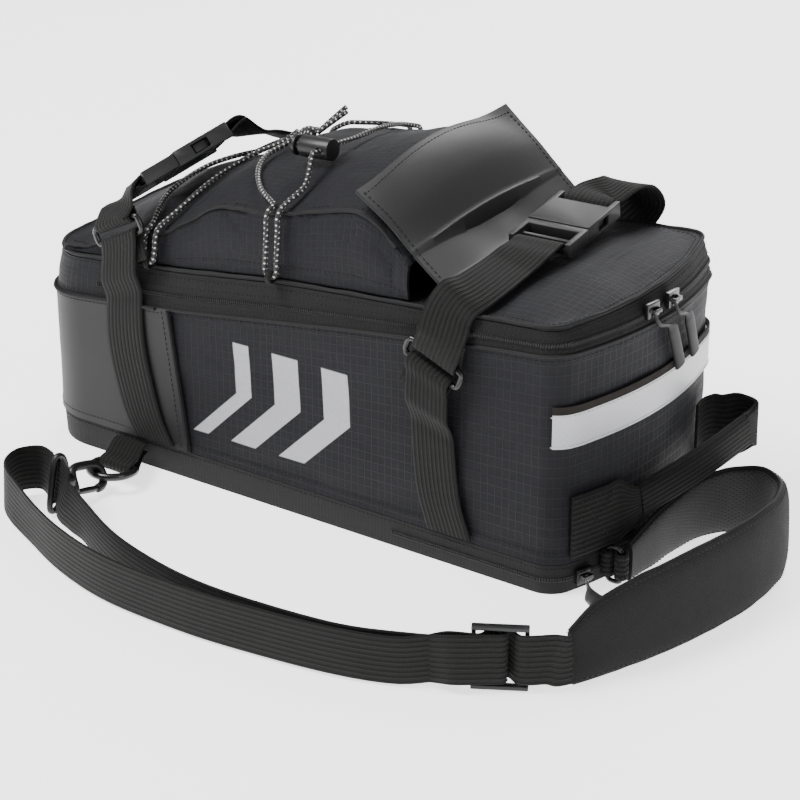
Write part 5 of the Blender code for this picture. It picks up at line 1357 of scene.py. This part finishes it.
def band():
    """The tape, and the ribbon that is sewn over its upper edge."""
    rings, at = respaced(sections("reflective_band"), 0.002, 0)
    us = around(rings[0])
    plan_size = np.linalg.norm(rings[..., :2], axis=2)
    out = rings - rings.mean(1, keepdims=True)
    middle = len(rings) // 2
    outer = plan_size[middle] > plan_size[middle].mean()
    top_k = max(np.flatnonzero(outer), key=lambda k: rings[middle, k, 2])
    low_k = min(np.flatnonzero(outer), key=lambda k: rings[middle, k, 2])
    BAND_LINES["top"], BAND_LINES["low"] = rings[:, top_k], rings[:, low_k]
    ribbon = rings.copy()
    base_z, top_z = rings[..., 2].min(), rings[..., 2].max()
    ribbon[..., 2] = top_z + 0.0002 + (rings[..., 2] - base_z) * 0.0042 / (top_z - base_z)
    tube("band_ribbon", ribbon, RIBBON, us, at, sharp=40)
    return tube("reflective_tape", rings, BAND, us, at, slot="reflective",
                replaced=("reflective_band",), sharp=40)


made = [pad(), band(), smooth_sweep("handle_grip", WEBBING, "webbing", 0.0013, 2)]
print("pad, band and grip:", {o.name: len(o.data.polygons) for o in made})

# %% [markdown]
# ## Stitches, coil teeth and piping
# Thousands of small equal pieces follow the seams. Modelling them one by one would be slow, and a
# texture would stay flat. A Geometry Nodes tree walks each line in even steps and sets a small rounded
# bead on every point, turned along the line and away from the cloth. A second tree sweeps a round
# section along a line for the piping.
# %% Two node trees


def grow(tree, kind, settings=None, sockets=None):
    """Add one node; sockets maps its inputs to values or to other nodes' outputs."""
    node = tree.nodes.new(kind)
    for key, value in (settings or {}).items():
        setattr(node, key, value)
    for key, value in (sockets or {}).items():
        if isinstance(value, bpy.types.NodeSocket):
            tree.links.new(value, node.inputs[key])
        else:
            node.inputs[key].default_value = value
    return node


def new_tree(name, inputs):
    """An empty tree with a geometry in and out, and named inputs of given kinds."""
    tree = bpy.data.node_groups.new(name, "GeometryNodeTree")
    tree.interface.new_socket("Geometry", in_out="INPUT", socket_type="NodeSocketGeometry")
    for label, kind in inputs:
        tree.interface.new_socket(label, in_out="INPUT", socket_type="NodeSocket" + kind)
    tree.interface.new_socket("Geometry", in_out="OUTPUT", socket_type="NodeSocketGeometry")
    return tree, grow(tree, "NodeGroupInput").outputs


def finish_tree(tree, geometry, given):
    """Smooth shading and the given material, then out."""
    smooth = grow(tree, "GeometryNodeSetShadeSmooth", None, {"Geometry": geometry})
    painted = grow(tree, "GeometryNodeSetMaterial", None,
                   {"Geometry": smooth.outputs[0], "Material": given["Material"]})
    grow(tree, "NodeGroupOutput", None, {0: painted.outputs[0]})
    return tree


def bead_tree():
    tree, given = new_tree("beads along lines", [
        ("Pitch", "Float"), ("Length", "Float"), ("Width", "Float"), ("Height", "Float"),
        ("Seed", "Int"), ("Material", "Material")])
    curve = grow(tree, "GeometryNodeMeshToCurve", None, {"Mesh": given["Geometry"]})
    steps = grow(tree, "GeometryNodeResampleCurve", {"mode": "LENGTH"},
                 {"Curve": curve.outputs[0], "Length": given["Pitch"]})
    out = grow(tree, "GeometryNodeInputNamedAttribute", {"data_type": "FLOAT_VECTOR"}, {"Name": "out"})
    tangent = grow(tree, "GeometryNodeInputTangent")
    stand = grow(tree, "FunctionNodeAlignRotationToVector", {"axis": "Z"},
                 {"Vector": out.outputs["Attribute"]})
    turned = grow(tree, "FunctionNodeAlignRotationToVector", {"axis": "X", "pivot_axis": "Z"},
                  {"Rotation": stand.outputs[0], "Vector": tangent.outputs[0]})
    size = grow(tree, "ShaderNodeCombineXYZ", None,
                {0: given["Length"], 1: given["Width"], 2: given["Height"]})
    jitter = grow(tree, "FunctionNodeRandomValue", {"data_type": "FLOAT_VECTOR"},
                  {0: (0.42, 0.44, 0.44), 1: (0.52, 0.54, 0.54), "Seed": given["Seed"]})
    scale = grow(tree, "ShaderNodeVectorMath", {"operation": "MULTIPLY"},
                 {0: size.outputs[0], 1: jitter.outputs[0]})
    bead = grow(tree, "GeometryNodeMeshUVSphere", None, {"Segments": 6, "Rings": 4, "Radius": 1.0})
    placed = grow(tree, "GeometryNodeInstanceOnPoints", None, {
        "Points": steps.outputs[0], "Instance": bead.outputs["Mesh"],
        "Rotation": turned.outputs[0], "Scale": scale.outputs[0]})
    real = grow(tree, "GeometryNodeRealizeInstances", None, {0: placed.outputs[0]})
    return finish_tree(tree, real.outputs[0], given)


def piping_tree():
    tree, given = new_tree("piping along lines", [
        ("Radius", "Float"), ("Step", "Float"), ("Seed", "Int"), ("Material", "Material")])
    curve = grow(tree, "GeometryNodeMeshToCurve", None, {"Mesh": given["Geometry"]})
    steps = grow(tree, "GeometryNodeResampleCurve", {"mode": "LENGTH"},
                 {"Curve": curve.outputs[0], "Length": given["Step"]})
    ring = grow(tree, "GeometryNodeCurvePrimitiveCircle", None,
                {"Resolution": 8, "Radius": given["Radius"]})
    skin = grow(tree, "GeometryNodeCurveToMesh", None, {
        "Curve": steps.outputs[0], "Profile Curve": ring.outputs[0], "Fill Caps": True})
    real = grow(tree, "GeometryNodeRealizeInstances", None, {0: skin.outputs[0]})
    return finish_tree(tree, real.outputs[0], given)


BEADS = bead_tree()
PIPING = piping_tree()


def run_tree(name, tree, lines, **values):
    """Run a tree on lines of points and ways out, and keep the plain mesh it makes."""
    mesh = bpy.data.meshes.new(name + "_lines")
    points = np.concatenate([line[0] for line in lines])
    outs = np.concatenate([line[1] for line in lines])
    edges, first = [], 0
    for line in lines:
        edges += [(first + i, first + i + 1) for i in range(len(line[0]) - 1)]
        first += len(line[0])
    mesh.from_pydata([tuple(p) for p in points], edges, [])
    mesh.attributes.new("out", "FLOAT_VECTOR", "POINT").data.foreach_set(
        "vector", outs.astype(np.float32).ravel())
    obj = bpy.data.objects.new(name, mesh)
    bpy.context.scene.collection.objects.link(obj)
    modifier = obj.modifiers.new("lines", "NODES")
    modifier.node_group = tree
    for item in tree.interface.items_tree:
        if item.name in values:
            modifier[item.identifier] = values[item.name]
    apply_modifiers(obj)
    return settle(obj, "bag", None, ())


print("node trees:", BEADS.name, "and", PIPING.name)

# %% [markdown]
# ## Lines that follow the cloth
# A seam lies on its cloth, so its line is read from the same grid or strap that the cloth was made
# from, together with the way out of it. Casting rays at the finished mesh would also work, but would
# miss at edges and folds. Thread, piping and coil are soft rubbery finishes with little sheen.
# %% Lines on surfaces
BAG_MIDDLE = (0.02, 0.0, 0.08)


def trace(name, rows, columns, lift=0.0, steps=200):
    """A line on a wall's outer face between places given as shares of its rows and columns."""
    grid, closed = GRIDS[name]
    out = normals(grid, closed)
    share = np.linspace(0, 1, steps)
    i = np.interp(share, np.linspace(0, 1, len(rows)), rows) * (len(grid) - 1)
    last = grid.shape[1] if closed else grid.shape[1] - 1
    k = np.interp(share, np.linspace(0, 1, len(columns)), columns) * last
    i0 = np.minimum(i.astype(int), len(grid) - 2)
    k0 = np.minimum(k.astype(int), last - 1)
    past_row, past_column = (i - i0)[:, None], (k - k0)[:, None]
    k1 = (k0 + 1) % grid.shape[1]

    def read(values):
        low_row = values[i0, k0] * (1 - past_column) + values[i0, k1] * past_column
        high_row = values[i0 + 1, k0] * (1 - past_column) + values[i0 + 1, k1] * past_column
        return low_row * (1 - past_row) + high_row * past_row

    way = read(out)
    way /= np.linalg.norm(way, axis=1, keepdims=True)
    return read(grid) + way * lift, way


def over(height, xs, ys, lift=0.0):
    """A line on a surface that is given as a height over the plan."""
    xs, ys = np.asarray(xs, float), np.asarray(ys, float)
    small = 0.0005
    z = height(xs, ys)
    way = np.stack([(height(xs - small, ys) - height(xs + small, ys)) / (2 * small),
                    (height(xs, ys - small) - height(xs, ys + small)) / (2 * small),
                    np.ones(len(xs))], 1)
    way /= np.linalg.norm(way, axis=1, keepdims=True)
    return np.stack([xs, ys, z], 1) + way * lift, way


def on_strap(node, start, stop, across, steps=60):
    """A line on a strap's outer face between two distances, from one place across to another."""
    center, wide, thick, at = STRAPS[node]
    place = np.linspace(start, stop, steps) if abs(stop - start) > 1e-6 else np.full(steps, start)
    place = np.where(place < 0, at[-1] + place, place)
    middle, w, t = [curve_at(at, v, place) for v in (center, wide, thick)]
    away = middle.mean(0) - np.array(BAG_MIDDLE)
    face = 1 if np.dot(t.mean(0), away) > 0 else -1
    u = np.linspace(*across, steps)[:, None]
    way = t * face / np.linalg.norm(t, axis=1, keepdims=True)
    return middle + w * u + t * face + way * 0.0002, way


def box_stitch(node, start, stop, edge=0.78):
    """A sewn rectangle with a cross in it."""
    corners = [(start, -edge), (start, edge), (stop, edge), (stop, -edge)]
    lines = []
    for (a, u), (b, v) in zip(corners, corners[1:] + corners[:1]):
        lines.append(on_strap(node, a, b, (u, v), steps=12))
    lines.append(on_strap(node, start, stop, (-edge, edge), steps=12))
    lines.append(on_strap(node, start, stop, (edge, -edge), steps=12))
    return lines


THREAD_FINISH = rubber_finish("thread", (0.009, 0.009, 0.009), 0.6)
PIPING_FINISH = rubber_finish("piping_cloth", (0.007, 0.007, 0.0075), 0.66)
PALE_THREAD = rubber_finish("pale_thread", (0.55, 0.55, 0.54), 0.55)
COIL_FINISH = rubber_finish("coil", (0.020, 0.020, 0.020), 0.3)
STITCH = {"Pitch": 0.0032, "Length": 0.0024, "Width": 0.0007, "Height": 0.0006}
print("lines can follow:", sorted(GRIDS), "and", len(STRAPS), "straps")

# %% [markdown]
# ## Zip coils
# A coil zip closes with two rows of small nylon loops on the tape's face. Each loop shows as a short
# rounded tooth across the tape, so the bead tree makes both rows. The base's own zip is finer, and
# is only seen round the rear.
# %% Zip coils
COIL_ROW, COIL_HALF_GAP = 0.36, 0.03
BASE_COIL_ROW, BASE_COIL_HALF_GAP = 0.5, 0.04
BASE_COIL_START = 0.078
COIL_LIFT = 0.0002
coil = [trace("zip_tape_cloth", [COIL_ROW + gap], [0, 1], COIL_LIFT, 900)
        for gap in (-COIL_HALF_GAP, COIL_HALF_GAP)]
run_tree("top_zip_coil", BEADS, coil, Pitch=0.0015, Length=0.0011, Width=0.0020, Height=0.0016,
         Seed=1, Material=COIL_FINISH)
along_base = GRIDS["base_wall"][0][0, :, 0]
behind = np.flatnonzero(along_base > BASE_COIL_START) / len(along_base)
coil = [trace("base_wall", [BASE_COIL_ROW + gap], [behind[0], behind[-1]], COIL_LIFT, 500)
        for gap in (BASE_COIL_HALF_GAP, -BASE_COIL_HALF_GAP)]
run_tree("base_zip_coil", BEADS, coil, Pitch=0.0015, Length=0.0011, Width=0.0018, Height=0.0014,
         Seed=2, Material=COIL_FINISH)

# %% [markdown]
# ## Seams and piping
# Every panel is top stitched beside its edge in dark thread, straps are tacked with bars and boxes,
# and the reflective tape is sewn with pale thread. Piping covers the raw edges of the cap, the lid,
# the pocket and the pad, and gives the bag its drawn outline.
# %% Seams and piping
THREAD_LIFT = 0.0001
STRAP_LIFT = 0.0002
BESIDE_CREST = 0.022
crest = GUSSET_ROWS / (2 * GUSSET_ROWS + TOP_ROWS)
crest_rows = [c + d for c in (crest, 1 - crest) for d in (-BESIDE_CREST, BESIDE_CREST)]
# Piece, places up it and along it as shares, and number of steps of each top stitched seam.
seams = [("zip_tape_cloth", [r], [0, 1], 700) for r in (0.12, 0.60, 0.86)]
seams += [("lid_cloth", [r], [0, 1], 900) for r in (0.16, 0.26)]
seams += [("hinge_cloth", [r], [0, 1], 300) for r in (0.08, 0.92)]
seams += [("body_wall", [r], [0, 1], 900) for r in (0.965, 0.05)]
seams += [("cap_cloth", [0.03, 0.97], [c], 60) for c in (0.018, 0.982)]
seams += [("cap_cloth", [r], [0, 1], 400) for r in (0.965, 0.05)]
seams += [("base_wall", [0.86], [0, 1], 900)]
seams += [("pocket_cloth", [r], [0, 1], 300) for r in crest_rows + [0.03, 0.97]]
seams += [("pocket_cloth", [0, 1], [c], 160) for c in (0.955, 0.035)]
dark = [trace(name, rows, columns, THREAD_LIFT, steps) for name, rows, columns, steps in seams]
inset = 0.0042
run = np.linspace(-FLAP_HALF_SPAN + inset, FLAP_HALF_SPAN - inset, 90)
dark.append(over(flap_face, np.full(90, FLAP_FREE + inset), run, THREAD_LIFT))
for y in (run[0], run[-1]):
    xs = np.linspace(FLAP_FREE + inset, FLAP_HINGE - 0.001, 50)
    dark.append(over(flap_face, xs, np.full(50, y), THREAD_LIFT))
dark += [(line + way * STRAP_LIFT, way) for shift, line, way in PAD_LINES if shift]
run_tree("dark_stitches", BEADS, dark, Seed=3, Material=THREAD_FINISH, **STITCH)

sewn = []
for node in ("front_strap_near_lower", "rear_strap_near_lower"):
    sewn += [on_strap(node, place, place, (-0.9, 0.9)) for place in (0.004, 0.009)]
sewn += box_stitch("handle_near", 0.006, 0.030)
sewn += box_stitch("rear_pad_tape", 0.004, 0.018)
sewn += [on_strap("shoulder_webbing", -0.010, -0.010, (-0.9, 0.9))]
run_tree("strap_stitches", BEADS, sewn, Seed=4, Material=THREAD_FINISH, **STITCH)
pale = [on_strap("front_ring_tab", 0.004, 0.025, (u, u)) for u in (-0.8, 0.8)]


def band_line(share, start=0.0, stop=1.0):
    """A line along the reflective tape at a share of its height."""
    line = BAND_LINES["low"] * (1 - share) + BAND_LINES["top"] * share
    line = line[int(start * (len(line) - 1)):int(stop * (len(line) - 1)) + 1]
    ahead = np.gradient(line, axis=0)
    way = np.cross(ahead, [0, 0, 1.0])
    way /= np.linalg.norm(way, axis=1, keepdims=True)
    way *= np.sign(np.sum(way[:, :2] * line[:, :2]))
    return line + way * 0.0002, way


pale += [band_line(0.06), band_line(0.94)]
run_tree("pale_stitches", BEADS, pale, Seed=5, Material=PALE_THREAD, **STITCH)

cap_top = trace("cap_cloth", [0.995], [0.03, 0.97], 0.0006, 300)
piping = [cap_top, trace("body_wall", [0.992], [0, 1], 0.0002, 900)]
piping += [trace("cap_cloth", [0.01, 0.99], [c], 0.0003, 80) for c in (0.004, 0.996)]
piping += [trace("lid_cloth", [0.055], [0, 1], 0.0004, 900)]
piping += [trace("pocket_cloth", [c], [0.0, 0.97], 0.0007, 260) for c in (crest, 1 - crest)]
piping += [(line, way) for shift, line, way in PAD_LINES if shift == 0]
run_tree("piping", PIPING, piping, Radius=0.0011, Step=0.003, Seed=0, Material=PIPING_FINISH)

# %% [markdown]
# ## Floor
# A plain pale sheet of board catches the soft shadows under the bag. It glows a little, because a
# board that only reflects would stay grey beside cloth this dark. It is stage, not part of the bag.
# %% Floor
FLOOR_SIZE = 12.0
FLOOR_GLOW = 1.7


def add_floor():
    finish = Finish("floor", (0.90, 0.90, 0.90), 0.6, emission_strength=FLOOR_GLOW)
    finish.put("Emission Color", (1, 1, 1, 1))
    _, vector = finish.place()
    finish.put("Roughness", 0.55 + finish.noise(vector, 0.4, 2) * 0.1)
    half = FLOOR_SIZE / 2
    mesh = bpy.data.meshes.new("floor")
    corners = [(-half, -half, 0), (half, -half, 0), (half, half, 0), (-half, half, 0)]
    mesh.from_pydata(corners, [], [(0, 1, 2, 3)])
    mesh.materials.append(finish.material)
    floor = bpy.data.objects.new("floor", mesh)
    bpy.context.scene.collection.objects.link(floor)


add_floor()
print("floor:", FLOOR_SIZE, "m square")
